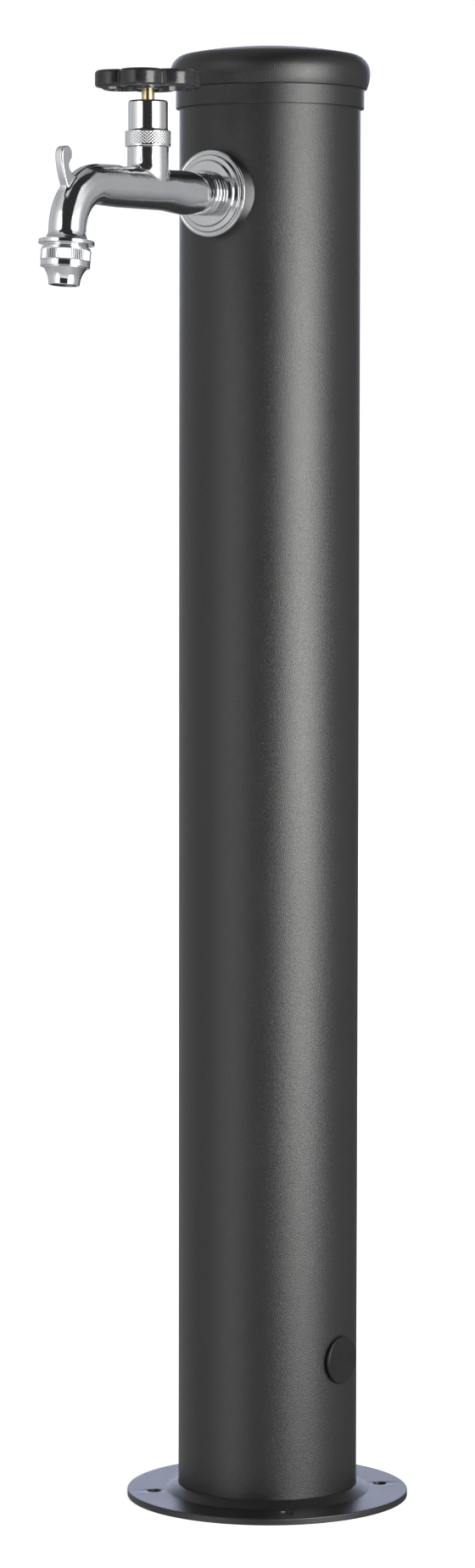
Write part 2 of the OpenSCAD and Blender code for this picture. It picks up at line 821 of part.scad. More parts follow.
module gland_nut() color(brass) {
    foot = headwork_top - gland_grip;
    on_valve() {
        difference() {
            hex_bar(foot, foot + gland_h, gland_flats);
            bar(foot - cut_over, headwork_top, headwork_stem_d + 2 * fit_gap);
            bar(foot, foot + gland_h + cut_over, stem_d + 2 * fit_gap);
        }
        ring(headwork_top - gland_nose, headwork_top, packing_d - 2 * fit_gap, stem_d + 2 * fit_gap);
    }
}

module bonnet_cover() color(chrome) {
    r = cover_d / 2;
    ring_r = ring_d / 2;
    flare = [for (i = [0:6])
        let (a = 15 * i)
        [r + (ring_r - cover_ring_chamfer - r) * (1 - sin(a)), ring_h + flare_h * (1 - cos(a))]];
    on_valve() difference() {
        rotate_extrude() polygon(concat(
            [[0, 0], [ring_r, 0], [ring_r, ring_h - cover_ring_chamfer]],
            flare,
            arc([r - cover_round, cover_h - cover_round], cover_round, 0, 90, 8),
            [[0, cover_h]]
        ));
        bar(-cut_over, flange_top, headwork_flange_d + 2 * fit_gap);
        bar(0, cover_h - cover_top_t, cover_d - 2 * cover_wall);
        bar(0, cover_h + cut_over, stem_d + 2 * hole_gap);
    }
}

module spindle() color(brass) {
    thread_foot = thread_top - spindle_thread_len;
    on_valve() difference() {
        union() {
            bar(spindle_foot, thread_foot, spindle_foot_d);
            bar(thread_foot, thread_top, spindle_thread_d);
            bar(thread_top, wheel_foot + square_up, stem_d);
            translate([-square_w / 2, -square_w / 2, wheel_foot])
                cube([square_w, square_w, square_top - wheel_foot]);
        }
        bar(spindle_foot - cut_over, jumper_top + jumper_stem_len + lift_spare, jumper_stem_d + 2 * fit_gap);
        bar(square_top - screw_len - lift_spare, square_top + cut_over, screw_d + 2 * fit_gap);
    }
}

module valve_jumper() color(brass) {
    on_valve() {
        bar(washer_foot - washer_nut_h - lift_spare, jumper_foot, stud_d);
        bar(jumper_foot, jumper_top, valve_disc_d + 2 * lift_spare);
        bar(jumper_top, jumper_top + jumper_stem_len, jumper_stem_d);
    }
}

module valve_washer() color(rubber) {
    on_valve() ring(washer_foot, jumper_foot, valve_disc_d, stud_d + 2 * fit_gap);
}

module washer_nut() color(brass) {
    on_valve() difference() {
        hex_bar(washer_foot - washer_nut_h, washer_foot, washer_nut_flats);
        bar(washer_foot - washer_nut_h - cut_over, washer_foot + cut_over, stud_d + 2 * fit_gap);
    }
}

// The handwheel's lobed outline, drawn in from its edge
module lobes(inset) {
    for (i = [0:lobe_count - 1])
        rotate([0, 0, lobe_start + i * 360 / lobe_count]) translate([lobe_c, 0]) circle(r = lobe_r - inset);
}

// The outline of the recess inside the rim
module wheel_recess() {
    lobes(wheel_rim);
    circle(r = lobe_c);
}

module handwheel() color(black) {
    r = wheel_d / 2;
    e = wheel_round;
    hole_w = square_w + 2 * fit_gap;
    on_valve() translate([0, 0, wheel_foot]) difference() {
        intersection() {
            linear_extrude(wheel_h) lobes(0);
            rotate_extrude() polygon(concat(
                [[0, 0]],
                arc([r - e, e], e, -90, 0, 8),
                arc([r - e, wheel_h - e], e, 0, 90, 8),
                [[0, wheel_h]]
            ));
        }
        translate([0, 0, wheel_h - wheel_top_depth])
            linear_extrude(wheel_top_depth + cut_over) wheel_recess();
        difference() {
            translate([0, 0, -cut_over]) linear_extrude(wheel_under_depth + cut_over) wheel_recess();
            bar(-2 * cut_over, wheel_under_depth + cut_over, hub_d);
        }
        bar(-cut_over, square_up + seat_gap, stem_d + 2 * fit_gap);
        translate([-hole_w / 2, -hole_w / 2, 0]) cube([hole_w, hole_w, wheel_h]);
    }
}

module handwheel_washer() color(steel) {
    on_valve() ring(hub_top, hub_top + wheel_washer_t, wheel_washer_d, screw_d + 2 * fit_gap);
}

module handwheel_screw() color(steel) {
    foot = hub_top + wheel_washer_t;
    slot_w = screw_head_d / 8;
    slot_z = foot + screw_head_h / 2;
    on_valve() difference() {
        union() {
            bar(square_top - screw_len, foot, screw_d);
            bar(foot, foot + screw_head_h, screw_head_d);
        }
        translate([-screw_head_d, -slot_w / 2, slot_z]) cube([2 * screw_head_d, slot_w, screw_head_h]);
    }
}

module outlet_nut() color(chrome) {
    r = nut_d / 2;
    points = 2 * serration_count;
    on_spout() difference() {
        union() {
            translate([0, 0, nut_top])
                cylinder(h = nut_chamfer, r1 = r - nut_ring_in - nut_chamfer, r2 = r - nut_ring_in);
            bar(nut_top + nut_chamfer, band_foot, nut_d - 2 * nut_ring_in);
            translate([0, 0, nut_top + nut_top_h]) linear_extrude(nut_band_h)
                polygon([for (i = [0:points - 1])
                    (r - (i % 2) * serration) * [cos(i * 360 / points), sin(i * 360 / points)]]);
            bar(band_foot, nut_end - nut_chamfer, nut_d - 2 * nut_foot_in);
            translate([0, 0, nut_end - nut_chamfer])
                cylinder(h = nut_chamfer, r1 = r - nut_foot_in, r2 = r - nut_foot_in - nut_chamfer);
        }
        bar(nut_top - cut_over, lip_top, nut_bore_d);
        bar(nut_top, nut_end + cut_over, lip_bore_d);
    }
}

module nozzle() color(chrome) {
    flange_r = spout_thread_d / 2;
    end_r = nozzle_d / 2;
    foot = nozzle_end - mouth_h;
    cove_top = nut_end + shoulder_h;
    cove_steps = 12;
    cove_share = 0.75;
    cove_power = 1.9;
    cove_d = shoulder_d - nozzle_d - 2 * nozzle_taper;
    cove = [for (i = [0:cove_steps])
        let (t = i / cove_steps)
        [end_r + nozzle_taper * (1 - t) + cove_d / 2 * pow(max(0, 1 - t / cove_share), cove_power),
            cove_top + (nozzle_end - cove_top) * t]];
    insert_r = insert_d / 2 + fit_gap;
    funnel_h = insert_r - mouth_bore_d / 2;
    on_spout() rotate_extrude() polygon(concat(
        [[insert_r, nozzle_top], [flange_r, nozzle_top], [flange_r, lip_top], [shoulder_d / 2, lip_top]],
        cove,
        [[mouth_d / 2, nozzle_end], [mouth_bore_d / 2, foot]],
        [[mouth_bore_d / 2, insert_foot + funnel_h], [insert_r, insert_foot]]
    ));
}

module outlet_washer() color(rubber) {
    on_spout() ring(spout_end, nozzle_top, spout_thread_d, outlet_washer_bore_d);
}

module jet_insert() color(white) {
    on_spout() difference() {
        bar(nozzle_top, insert_foot, insert_d);
        bar(nozzle_top - cut_over, insert_foot + cut_over, insert_hole_d);
        for (i = [0:insert_holes - 1])
            rotate([0, 0, i * 360 / insert_holes]) translate([insert_ring_share * insert_d, 0, 0])
                bar(nozzle_top - cut_over, insert_foot + cut_over, insert_hole_d);
    }
}

base_flange();
column_tube();
column_cap();
side_hole_plug();
saddle_washer();
wall_rosette();
inner_saddle();
shank_backnut();
elbow_washer();
supply_elbow();
compression_nuts();
compression_olives();
supply_pipe();
inlet_coupling();
tap_body();
headwork_gasket();
headwork();
gland_packing();
gland_nut();
bonnet_cover();
spindle();
valve_jumper();
valve_washer();
washer_nut();
handwheel();
handwheel_washer();
handwheel_screw();
outlet_nut();
nozzle();
outlet_washer();
jet_insert();
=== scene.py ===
import bpy
import math
import numpy as np
from mathutils import Matrix, Vector


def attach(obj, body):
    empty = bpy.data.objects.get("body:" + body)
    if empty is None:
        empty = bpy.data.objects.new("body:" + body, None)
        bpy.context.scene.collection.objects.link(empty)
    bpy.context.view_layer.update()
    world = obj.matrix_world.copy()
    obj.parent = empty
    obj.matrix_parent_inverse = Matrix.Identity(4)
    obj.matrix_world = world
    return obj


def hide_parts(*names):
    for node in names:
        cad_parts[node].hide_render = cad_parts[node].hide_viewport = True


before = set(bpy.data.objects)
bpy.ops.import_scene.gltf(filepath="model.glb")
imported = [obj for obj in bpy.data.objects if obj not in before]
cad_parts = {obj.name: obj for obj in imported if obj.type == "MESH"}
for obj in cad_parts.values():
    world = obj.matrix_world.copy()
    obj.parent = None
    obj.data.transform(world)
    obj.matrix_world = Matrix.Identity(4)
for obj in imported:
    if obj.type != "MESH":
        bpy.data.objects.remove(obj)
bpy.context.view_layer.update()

MM = 0.001
TAU = 2 * math.pi
QUARTER = math.pi / 2

# Sizes in millimetres, the same as in the part's source
FACE_R = 60.0                        # the column's outer face
WALL = 2
COLUMN_TOP = 954.5
PLATE_R, PLATE_T = 94.5, 4.5
BOLT_CIRCLE_R = 77
SIDE_HOLE_R, SIDE_HOLE_Z = 14, 98.5
TAP_HOLE_R, TAP_Z = 13.5, 870.0      # the arm's hole in the column, and its axis
VALVE_R, NECK_TOP = 133.0, 896.5     # the valve's distance from the column's axis, and its neck's top
BORE_R = 8                           # the waterway in the arm and the spout
BEND_START, BEND_R = 186.0, 30.0     # the elbow, on its middle line
LEAN = math.radians(5.5)             # the spout's, outwards
SPOUT_R = BEND_START + BEND_R * math.cos(LEAN)
SPOUT_Z = TAP_Z - BEND_R + BEND_R * math.sin(LEAN)


def axes(x, y, z, origin):
    """A frame from its three axes and its origin."""
    return Matrix((*zip(x, y, z, origin), (0, 0, 0, 1)))


# The frames that pieces are drawn in, with the local z along the arm, the plug or the spout
TO_WORLD = Matrix.Identity(4)
ARM = axes((1, 0, 0), (0, 0, 1), (0, -1, 0), (0, 0, TAP_Z))
SIDE = axes((0, 1, 0), (0, 0, 1), (1, 0, 0), (0, 0, SIDE_HOLE_Z))
VALVE = Matrix.Translation((0, -VALVE_R, NECK_TOP))
SPOUT_AXIS = Vector((0, -math.sin(LEAN), -math.cos(LEAN)))
SPOUT = axes((1, 0, 0), SPOUT_AXIS.cross(Vector((1, 0, 0))), SPOUT_AXIS, (0, -SPOUT_R, SPOUT_Z))


# Node helpers

class Nodes:
    """A small builder for a node tree."""

    def __init__(self, tree):
        self.tree = tree
        tree.nodes.clear()

    def add(self, kind, **settings):
        n = self.tree.nodes.new(kind)
        for key, value in settings.items():
            setattr(n, key, value)
        return n

    def link(self, a, b):
        self.tree.links.new(a, b)

    def put(self, node, name, value):
        """Sets a socket, or links it where the value is a socket."""
        socket = node.inputs[name]
        if isinstance(value, bpy.types.NodeSocket):
            self.link(value, socket)
        else:
            socket.default_value = value

    def math(self, op, a, b=0.0):
        n = self.add("ShaderNodeMath", operation=op)
        self.put(n, 0, a)
        self.put(n, 1, b)
        return n.outputs[0]

    def noise(self, vector, scale, detail=2.0, rough=0.5):
        n = self.add("ShaderNodeTexNoise")
        self.put(n, "Vector", vector)
        self.put(n, "Scale", scale)
        self.put(n, "Detail", detail)
        self.put(n, "Roughness", rough)
        return n.outputs[0]

    def scaled(self, vector, scale):
        n = self.add("ShaderNodeMapping")
        self.put(n, "Vector", vector)
        self.put(n, "Scale", scale)
        return n.outputs[0]

    def span(self, value, a, b, c, d):
        """Maps a to b onto c to d, and holds the ends."""
        n = self.add("ShaderNodeMapRange")
        self.put(n, "Value", value)
        self.put(n, "From Min", a)
        self.put(n, "From Max", b)
        self.put(n, "To Min", c)
        self.put(n, "To Max", d)
        return n.outputs[0]

    def spread(self, noise, low, high):
        """Two values at the ends of a noise's usual range."""
        return self.span(noise, 0.3, 0.7, low, high)

    def ramp(self, value, stops):
        n = self.add("ShaderNodeValToRGB")
        self.put(n, 0, value)
        e = n.color_ramp.elements
        while len(e) > 1:
            e.remove(e[-1])
        e[0].position, e[0].color = stops[0][0], (*stops[0][1], 1)
        for position, colour in stops[1:]:
            e.new(position).color = (*colour, 1)
        return n.outputs[0]

    def blend(self, noise, dark, light, margin=0.3):
        """Two colours at the ends of a noise's usual range."""
        return self.ramp(noise, [(margin, dark), (1 - margin, light)])

    def mix(self, factor, a, b):
        n = self.add("ShaderNodeMix", data_type="RGBA")
        self.put(n, 0, factor)
        self.put(n, 6, a)
        self.put(n, 7, b)
        return n.outputs[2]

    def bump(self, height, strength, distance, normal=None):
        n = self.add("ShaderNodeBump")
        self.put(n, "Height", height)
        self.put(n, "Strength", strength)
        self.put(n, "Distance", distance)
        if normal is not None:
            self.put(n, "Normal", normal)
        return n.outputs[0]


def coat(colour, roughness, normal):
    return {"Base Color": colour, "Roughness": roughness, "Normal": normal}


def material(name, build, **constants):
    """A material whose build(nodes, place) gives the linked sockets of a Principled shader."""
    m = bpy.data.materials.new(name)
    m.use_nodes = True
    nodes = Nodes(m.node_tree)
    out = nodes.add("ShaderNodeOutputMaterial")
    shader = nodes.add("ShaderNodeBsdfPrincipled")
    nodes.link(shader.outputs[0], out.inputs[0])
    place = nodes.add("ShaderNodeTexCoord").outputs["Object"]
    for key, value in constants.items():
        shader.inputs[key.replace("_", " ")].default_value = value
    for key, value in build(nodes, place).items():
        nodes.put(shader, key, value)
    return m


# Materials. A noise's scale is its cells in a metre, and a bump's distance is in metres.

def powder(n, p):
    """Powder coat: a fine grain with lighter specks over a faint orange peel."""
    grain = n.noise(p, scale=1900, detail=1)
    peel = n.noise(p, scale=520)
    cloud = n.noise(p, scale=14, detail=3)
    speck = n.noise(p, scale=2300, detail=1)
    tone = n.ramp(speck, [(0.30, (0.004, 0.004, 0.0042)), (0.50, (0.0076, 0.0075, 0.0078)),
                          (0.70, (0.018, 0.0178, 0.0182))])
    patch = n.blend(cloud, (0.0068, 0.0067, 0.0070), (0.0098, 0.0097, 0.0101))
    rough = n.math("ADD", n.spread(cloud, 0.305, 0.345), n.spread(grain, -0.04, 0.04))
    skin = n.bump(peel, strength=0.12, distance=0.0003)
    return coat(n.mix(0.55, patch, tone), rough, n.bump(grain, 0.75, 0.00024, skin))


def plated(dark, light, rough, smear, swell, fine=None, haze=None):
    """A plated metal. smear is the noise (scale, detail, roughness) behind its tone and roughness,
    swell and fine are each a noise and its bump (strength, distance), and haze is the roughness that
    the fine noise adds."""
    def build(n, p):
        swell_noise = n.noise(p, *swell[0])
        fine_noise = fine and n.noise(p, *fine[0])
        smear_noise = n.noise(p, *smear)
        tone = n.blend(smear_noise, dark, light, margin=0.25)
        roughness = n.spread(smear_noise, *rough)
        if haze:
            roughness = n.math("ADD", roughness, n.spread(fine_noise, *haze))
        normal = n.bump(swell_noise, *swell[1])
        if fine:
            normal = n.bump(fine_noise, *fine[1], normal)
        return coat(tone, roughness, normal)
    return build


def worked_metal(dark, light, rough, lay):
    """A cut or drawn metal: fine lines along one direction and a cloudy tone. lay scales each axis."""
    def build(n, p):
        lines = n.noise(n.scaled(p, lay), 900, 3, 0.6)
        cloud = n.noise(p, 60, 4, 0.6)
        both = n.math("ADD", n.math("MULTIPLY", lines, 0.4), n.math("MULTIPLY", cloud, 0.6))
        return coat(n.blend(both, dark, light), n.spread(cloud, *rough),
                    n.bump(lines, strength=0.25, distance=0.00008))
    return build


def moulded(dark, light, rough, grain_scale, depth):
    """A moulded plastic or rubber with a fine grain."""
    def build(n, p):
        grain = n.noise(p, grain_scale, 3, 0.6)
        cloud = n.noise(p, scale=45, detail=3)
        both = n.math("ADD", n.math("MULTIPLY", grain, 0.5), n.math("MULTIPLY", cloud, 0.5))
        return coat(n.blend(both, dark, light), n.spread(cloud, *rough),
                    n.bump(grain, strength=0.5, distance=depth))
    return build


def glossy_black(n, p):
    """A glossy black moulding with a slightly rippled, handled surface."""
    ripple = n.noise(p, 210, 3, 0.6)
    fine = n.noise(p, scale=900)
    cloud = n.noise(p, 90, 4, 0.6)
    tone = n.blend(cloud, (0.011, 0.011, 0.012), (0.021, 0.021, 0.023))
    skin = n.bump(ripple, strength=0.35, distance=0.0005)
    return coat(tone, n.span(cloud, 0.35, 0.65, 0.17, 0.30), n.bump(fine, 0.3, 0.00004, skin))


def glowing_floor(n, p):
    """A pale matt floor that also glows as painted light. The glow is weaker near the object, which paints
    shade round its foot, and it grows away from the object until the floor can't be told from the sky.
    """
    tone = n.blend(n.noise(p, scale=3), (0.80, 0.80, 0.80), (0.84, 0.84, 0.84))
    reach = n.add("ShaderNodeVectorMath", operation="LENGTH")
    n.put(reach, 0, p)
    # painted light: the floor's emission, held low near the object as painted shade round its foot
    painted_glow = n.span(reach.outputs["Value"], 0.12, 0.75, 0.74, 1.06)
    return {"Base Color": tone, "Emission Strength": painted_glow}


BRIGHT = (0.87, 0.875, 0.885)
BUILDS = {
    "powder_coat": (powder, {"IOR": 1.55}),
    # turned parts
    "chrome": (plated((0.80, 0.81, 0.83), BRIGHT, (0.045, 0.085), smear=(30, 3),
                      swell=((55, 1, 0.4), (0.30, 0.0006)), fine=((900,), (0.10, 0.00004)),
                      haze=(-0.01, 0.015)), {"Metallic": 1.0}),
    # the casting, with a slightly uneven skin
    "cast_chrome": (plated((0.79, 0.80, 0.82), BRIGHT, (0.07, 0.12), smear=(38, 3),
                           swell=((95,), (0.12, 0.0016)), fine=((240,), (0.05, 0.0004))),
                    {"Metallic": 1.0}),
    # pressed sheet, a little hazier and greyer
    "spun_chrome": (plated((0.52, 0.53, 0.545), (0.60, 0.605, 0.615), (0.10, 0.16), smear=(60, 4, 0.6),
                           swell=((70,), (0.10, 0.0008)), fine=((1100, 3, 0.6), (0.12, 0.00005)),
                           haze=(-0.015, 0.02)), {"Metallic": 1.0}),
    # the rings at the tap's collar, with a soft haze
    "turned_chrome": (plated((0.74, 0.75, 0.77), (0.83, 0.835, 0.845), (0.09, 0.14), smear=(50, 3),
                             swell=((150,), (0.10, 0.0006))), {"Metallic": 1.0}),
    "brass": (worked_metal((0.68, 0.52, 0.27), (0.86, 0.72, 0.45), (0.20, 0.30), lay=(1, 1, 6)),
              {"Metallic": 1.0}),
    "copper_tube": (worked_metal((0.58, 0.28, 0.16), (0.76, 0.43, 0.28), (0.2, 0.4), lay=(6, 6, 1)),
                    {"Metallic": 1.0}),
    "steel": (worked_metal((0.50, 0.50, 0.51), (0.68, 0.68, 0.69), (0.22, 0.36), lay=(1, 6, 1)),
              {"Metallic": 1.0}),
    "rubber": (moulded((0.016, 0.016, 0.016), (0.032, 0.032, 0.033), (0.6, 0.75), 1400, 0.00006), {}),
    "wheel_black": (glossy_black, {}),
    "plug_plastic": (moulded((0.0035, 0.0035, 0.0038), (0.0065, 0.0065, 0.0070), (0.40, 0.50),
                             1300, 0.00008), {"IOR": 1.42}),
    "white_plastic": (moulded((0.68, 0.68, 0.66), (0.80, 0.80, 0.78), (0.35, 0.5), 900, 0.00005), {}),
}
MATERIALS = {name: material(name, build, **constants) for name, (build, constants) in BUILDS.items()}


# Mesh helpers

def new_object(name, data):
    obj = bpy.data.objects.new(name, data)
    bpy.context.scene.collection.objects.link(obj)
    return obj


def mesh_object(name, points, faces, at):
    """An object from points in millimetres in the frame at. Its mesh is in metres in the part's frame."""
    m = np.array(at)
    world = (np.asarray(points, float) @ m[:3, :3].T + m[:3, 3]) * MM
    mesh = bpy.data.meshes.new(name)
    mesh.from_pydata(world.tolist(), [], [list(map(int, f)) for f in faces])
    mesh.validate()
    mesh.update()
    return new_object(name, mesh)


def piece(name, points, faces, slot, body, at=TO_WORLD, sharp=32, node=None, normals=None, finish=None):
    """A visible piece that rides on a body. finish is its material where that isn't the slot's own,
    sharp the angle in degrees over which an edge stays sharp, and node the CAD node it replaces."""
    obj = mesh_object(name, points, faces, at)
    obj.data.shade_smooth()
    if normals is not None:
        turned = np.asarray(normals) @ np.array(at)[:3, :3].T
        obj.data.normals_split_custom_set_from_vertices(turned.tolist())
    else:
        obj.data.set_sharp_from_angle(angle=math.radians(sharp))
    obj.data.materials.append(MATERIALS[finish or slot])
    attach(obj, body)
    if node:
        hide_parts(node)
    return obj


def arc(r, z, radius, start, end, count):
    """Points on a circle round (r, z), between two angles."""
    return [(r + radius * math.cos(a), z + radius * math.sin(a)) for a in np.linspace(start, end, count)]


STRAIGHT = math.pi - 0.02    # a corner wider than this needs no rounding
SIDE_SHARE = 0.48            # of a side's length, the most that a rounding may take
HOLD = 0.04                  # from a rounding's end to its holding point


def rounded(points, closed=False, steps=5):
    """A profile with its corners rounded. A point is (r, z) or (r, z, radius). A rounded corner gets
    a holding point at each end, so that shading stays flat on what it joins."""
    out = []
    count = len(points)
    for i, point in enumerate(points):
        p = np.array(point[:2], float)
        radius = point[2] if len(point) > 2 else 0
        if not radius or (not closed and i in (0, count - 1)):
            out.append(tuple(p))
            continue
        a = np.array(points[i - 1][:2], float)
        b = np.array(points[(i + 1) % count][:2], float)
        u, v = a - p, b - p
        lu, lv = np.linalg.norm(u), np.linalg.norm(v)
        u, v = u / lu, v / lv
        angle = math.acos(max(-1, min(1, float(u @ v))))
        if angle > STRAIGHT:
            out.append(tuple(p))
            continue
        back = min(radius / math.tan(angle / 2), SIDE_SHARE * lu, SIDE_SHARE * lv)
        r = back * math.tan(angle / 2)
        middle = (u + v) / np.linalg.norm(u + v)
        centre = p + middle * (r / math.sin(angle / 2))
        start, end = p + u * back, p + v * back
        if lu - back > 3 * HOLD:
            out.append(tuple(start + u * HOLD))
        s, e = start - centre, end - centre
        turn = math.atan2(s[0] * e[1] - s[1] * e[0], float(s @ e))
        first = math.atan2(s[1], s[0])
        for k in range(steps + 1):
            t = first + turn * k / steps
            out.append((centre[0] + r * math.cos(t), centre[1] + r * math.sin(t)))
        if lv - back > 3 * HOLD:
            out.append(tuple(end + v * HOLD))
    return out


def lathe_mesh(profile, n, closed=False, shift=None):
    """Points and faces of a profile turned round the local z axis, with the faces looking outwards.
    A ring's r may be an array of n, and shift(angles, r, z) may move a ring's points."""
    angles = np.arange(n) * TAU / n
    c, s = np.cos(angles), np.sin(angles)
    rings, points = [], []
    count = 0
    for r, z in profile:
        if np.max(r) < 1e-6 and shift is None:
            rings.append([count] * n)
            points.append(np.array([[0, 0, z]]))
            count += 1
        else:
            rr, zz = (r, z) if shift is None else shift(angles, r, z)
            points.append(np.stack([rr * c, rr * s, np.broadcast_to(zz, n)], 1))
            rings.append(list(range(count, count + n)))
            count += n
    faces = []
    for a, b in list(zip(rings, rings[1:])) + ([(rings[-1], rings[0])] if closed else []):
        for i in range(n):
            j = (i + 1) % n
            face = [a[i], a[j], b[j], b[i]]
            face = [v for k, v in enumerate(face) if v != face[k - 1]]
            if len(face) > 2:
                faces.append(face)
    loop = [(np.mean(r), z) for r, z in profile]
    loop += loop[:1] if closed else []
    area = sum(r0 * z1 - r1 * z0 for (r0, z0), (r1, z1) in zip(loop, loop[1:]))
    return np.concatenate(points), faces if area > 0 else [f[::-1] for f in faces]


def lathe(name, profile, n, slot, body, at=TO_WORLD, closed=False, shift=None, **settings):
    """A turned piece. The settings are piece()'s."""
    return piece(name, *lathe_mesh(profile, n, closed, shift), slot, body, at, **settings)


def cut(obj, profile, n, at):
    """Takes a turned solid out of obj."""
    tool = mesh_object("tool", *lathe_mesh(profile, n), at)
    modifier = obj.modifiers.new("cut", "BOOLEAN")
    modifier.operation = "DIFFERENCE"
    modifier.solver = "EXACT"
    modifier.object = tool
    bpy.context.view_layer.objects.active = obj
    bpy.ops.object.modifier_apply(modifier=modifier.name)
    bpy.data.objects.remove(tool)


def tube_normals(obj, radii):
    """Exact normals for a tube round z that holes have been cut in: radial on its walls, each face's
    own elsewhere. A face is a wall where it stands upright, looks along the radius and has all its
    points within 0.02 mm of one of the radii."""
    mesh = obj.data
    normals = []
    for f in mesh.polygons:
        out = Vector((f.center.x, f.center.y, 0))
        reach = [math.hypot(*mesh.vertices[v].co[:2]) / MM for v in f.vertices]
        wall = (out.length > 0 and abs(f.normal.z) < 0.05
                and abs(f.normal.dot(out.normalized())) > 0.98
                and any(all(abs(d - r) < 0.02 for d in reach) for r in radii))
        sign = 1 if f.normal.dot(out) > 0 else -1
        for v in f.vertices:
            co = mesh.vertices[v].co
            radial = Vector((co.x, co.y, 0)).normalized() * sign
            normals.append(tuple(radial if wall else f.normal))
    mesh.normals_split_custom_set(normals)


# Column

def tube():
    inner = FACE_R - WALL
    profile = [(inner, PLATE_T), (FACE_R, PLATE_T), (FACE_R, COLUMN_TOP), (inner, COLUMN_TOP)]
    obj = lathe("column_tube_coat", profile, 288, "powder_coat", "column", closed=True, node="column_tube")
    for radius, at in ((TAP_HOLE_R, ARM), (SIDE_HOLE_R, SIDE)):
        cut(obj, [(0, 40), (radius, 40), (radius, 70), (0, 70)], 72, at)
    tube_normals(obj, (FACE_R, inner))


def cap():
    foot, seam = 928.3, 941.0
    skirt_r, dome_r, cap_r = 62.35, 63.95, 66.25
    bulge, shoulder_rise = 2.3, 11          # of the side over the seam
    crown_radius, shoulder_radius, thick = 300, 12, 3
    seat_r, seat_z = 50, 955.1              # the cap rests on the tube's top
    side = [(dome_r + bulge * (1 - (1 - t) ** 2), seam + shoulder_rise * t) for t in np.linspace(0.12, 1, 8)]
    centre = cap_r - shoulder_radius
    drop = math.sqrt((crown_radius - shoulder_radius) ** 2 - centre ** 2)
    crown_z = seam + shoulder_rise - drop
    swing = math.atan2(drop, centre)
    shoulder = arc(centre, seam + shoulder_rise, shoulder_radius, 0, swing, 14)[1:]
    crown = arc(0, crown_z, crown_radius, swing, QUARTER, 16)[1:]
    top = crown.pop()[1]
    inner = [(0, top - thick)]
    inner += [(r, crown_z + math.sqrt((crown_radius - thick) ** 2 - r ** 2))
              for r in np.linspace(0, seat_r, 4)[1:]]
    skirt = [(seat_r, seat_z, 0.4), (60.1, seat_z, 0.3), (60.1, foot, 0.4), (skirt_r, foot, 0.55)]
    groove = [(skirt_r, seam - 0.25, 0.1), (skirt_r - 0.15, seam - 0.1, 0.08),
              (skirt_r - 0.15, seam + 0.1, 0.1), (dome_r, seam + 0.1, 0.8)]
    lathe("cap_shell", rounded(inner + skirt + groove + side + shoulder + crown + [(0, top)]), 256,
          "powder_coat", "cap", node="column_cap", sharp=40)


def foot_plate():
    cone_foot, cone_top, cone_z = 68.8, 60.9, 9.0
    inner, tube_r = 45, 60.05
    profile = [(inner, 0, 0.3), (PLATE_R, 0, 0.4), (PLATE_R, PLATE_T, 0.9), (cone_foot, PLATE_T, 0.8),
               (cone_top, cone_z, 0.5), (tube_r, cone_z, 0.2), (tube_r, PLATE_T, 0.1), (inner, PLATE_T, 0.5)]
    obj = lathe("foot_plate_coat", rounded(profile, closed=True, steps=4), 240,
                "powder_coat", "column", closed=True, node="base_flange")
    # a hole of 9 mm with a small chamfer at both ends
    hole = [(0, -1), (5.0, -1), (4.5, 0.5), (4.5, PLATE_T - 0.55), (4.65, PLATE_T - 0.2),
            (5.15, PLATE_T + 0.05), (5.5, 6), (0, 6)]
    for i in range(4):
        a = math.radians(45 + 90 * i)
        middle = (BOLT_CIRCLE_R * math.cos(a), BOLT_CIRCLE_R * math.sin(a), 0)
        cut(obj, hole, 48, Matrix.Translation(middle))
    obj.data.set_sharp_from_angle(angle=math.radians(32))


def side_plug():
    head_r, shank_r, inner_r = 16, 13.9, 11.9
    face, shank_end = 62, 50
    profile = [(0, face), (head_r - 0.6, face, 0.25), (head_r, face - 0.6, 0.35), (head_r, FACE_R, 0.1),
               (shank_r, FACE_R, 0.15), (shank_r, shank_end, 0.5), (inner_r, shank_end, 0.3),
               (inner_r, 58, 0.6), (0, 58)]
    lathe("side_plug", rounded(profile, steps=4), 96, "plug_plastic", "plug", SIDE, node="side_hole_plug")


# Rosette

def rosette():
    def saddle(angles, r, z):
        """A foot that follows the column: a ring at a height under 1 lies on the column's face."""
        if z < 1:
            return r, np.sqrt((FACE_R + 0.05) ** 2 - (r * np.cos(angles)) ** 2)
        return r, z

    edge = arc(27.15, 66.25, 1.25, -1.75, 1.75, 17)
    steps = rounded([
        edge.pop(), (26.2, 67.28, 0.3), (25.2, 67.28, 0.45), (24.9, 69.0, 0.75), (21.65, 69.2, 0.5),
        (21.3, 70.8, 0.8), (14.7, 71.0, 0.5), (13.5, 71.0, 0.3), (13.5, 69.6)], steps=4)
    outside = [(26.6, 0), (26.6, 64.2), (26.75, 64.75)] + edge + steps
    inside = [(20.0, 69.6), (23.6, 67.8), (25.2, 66.1), (25.2, 0)]
    lathe("rosette_plate", outside + inside, 192, "chrome", "column", ARM, closed=True, shift=saddle,
          sharp=36, node="wall_rosette", finish="spun_chrome")


# Tap body: a distance field for the casting. In it x runs across, r out from the column's axis, z up.

FAR = 1e3


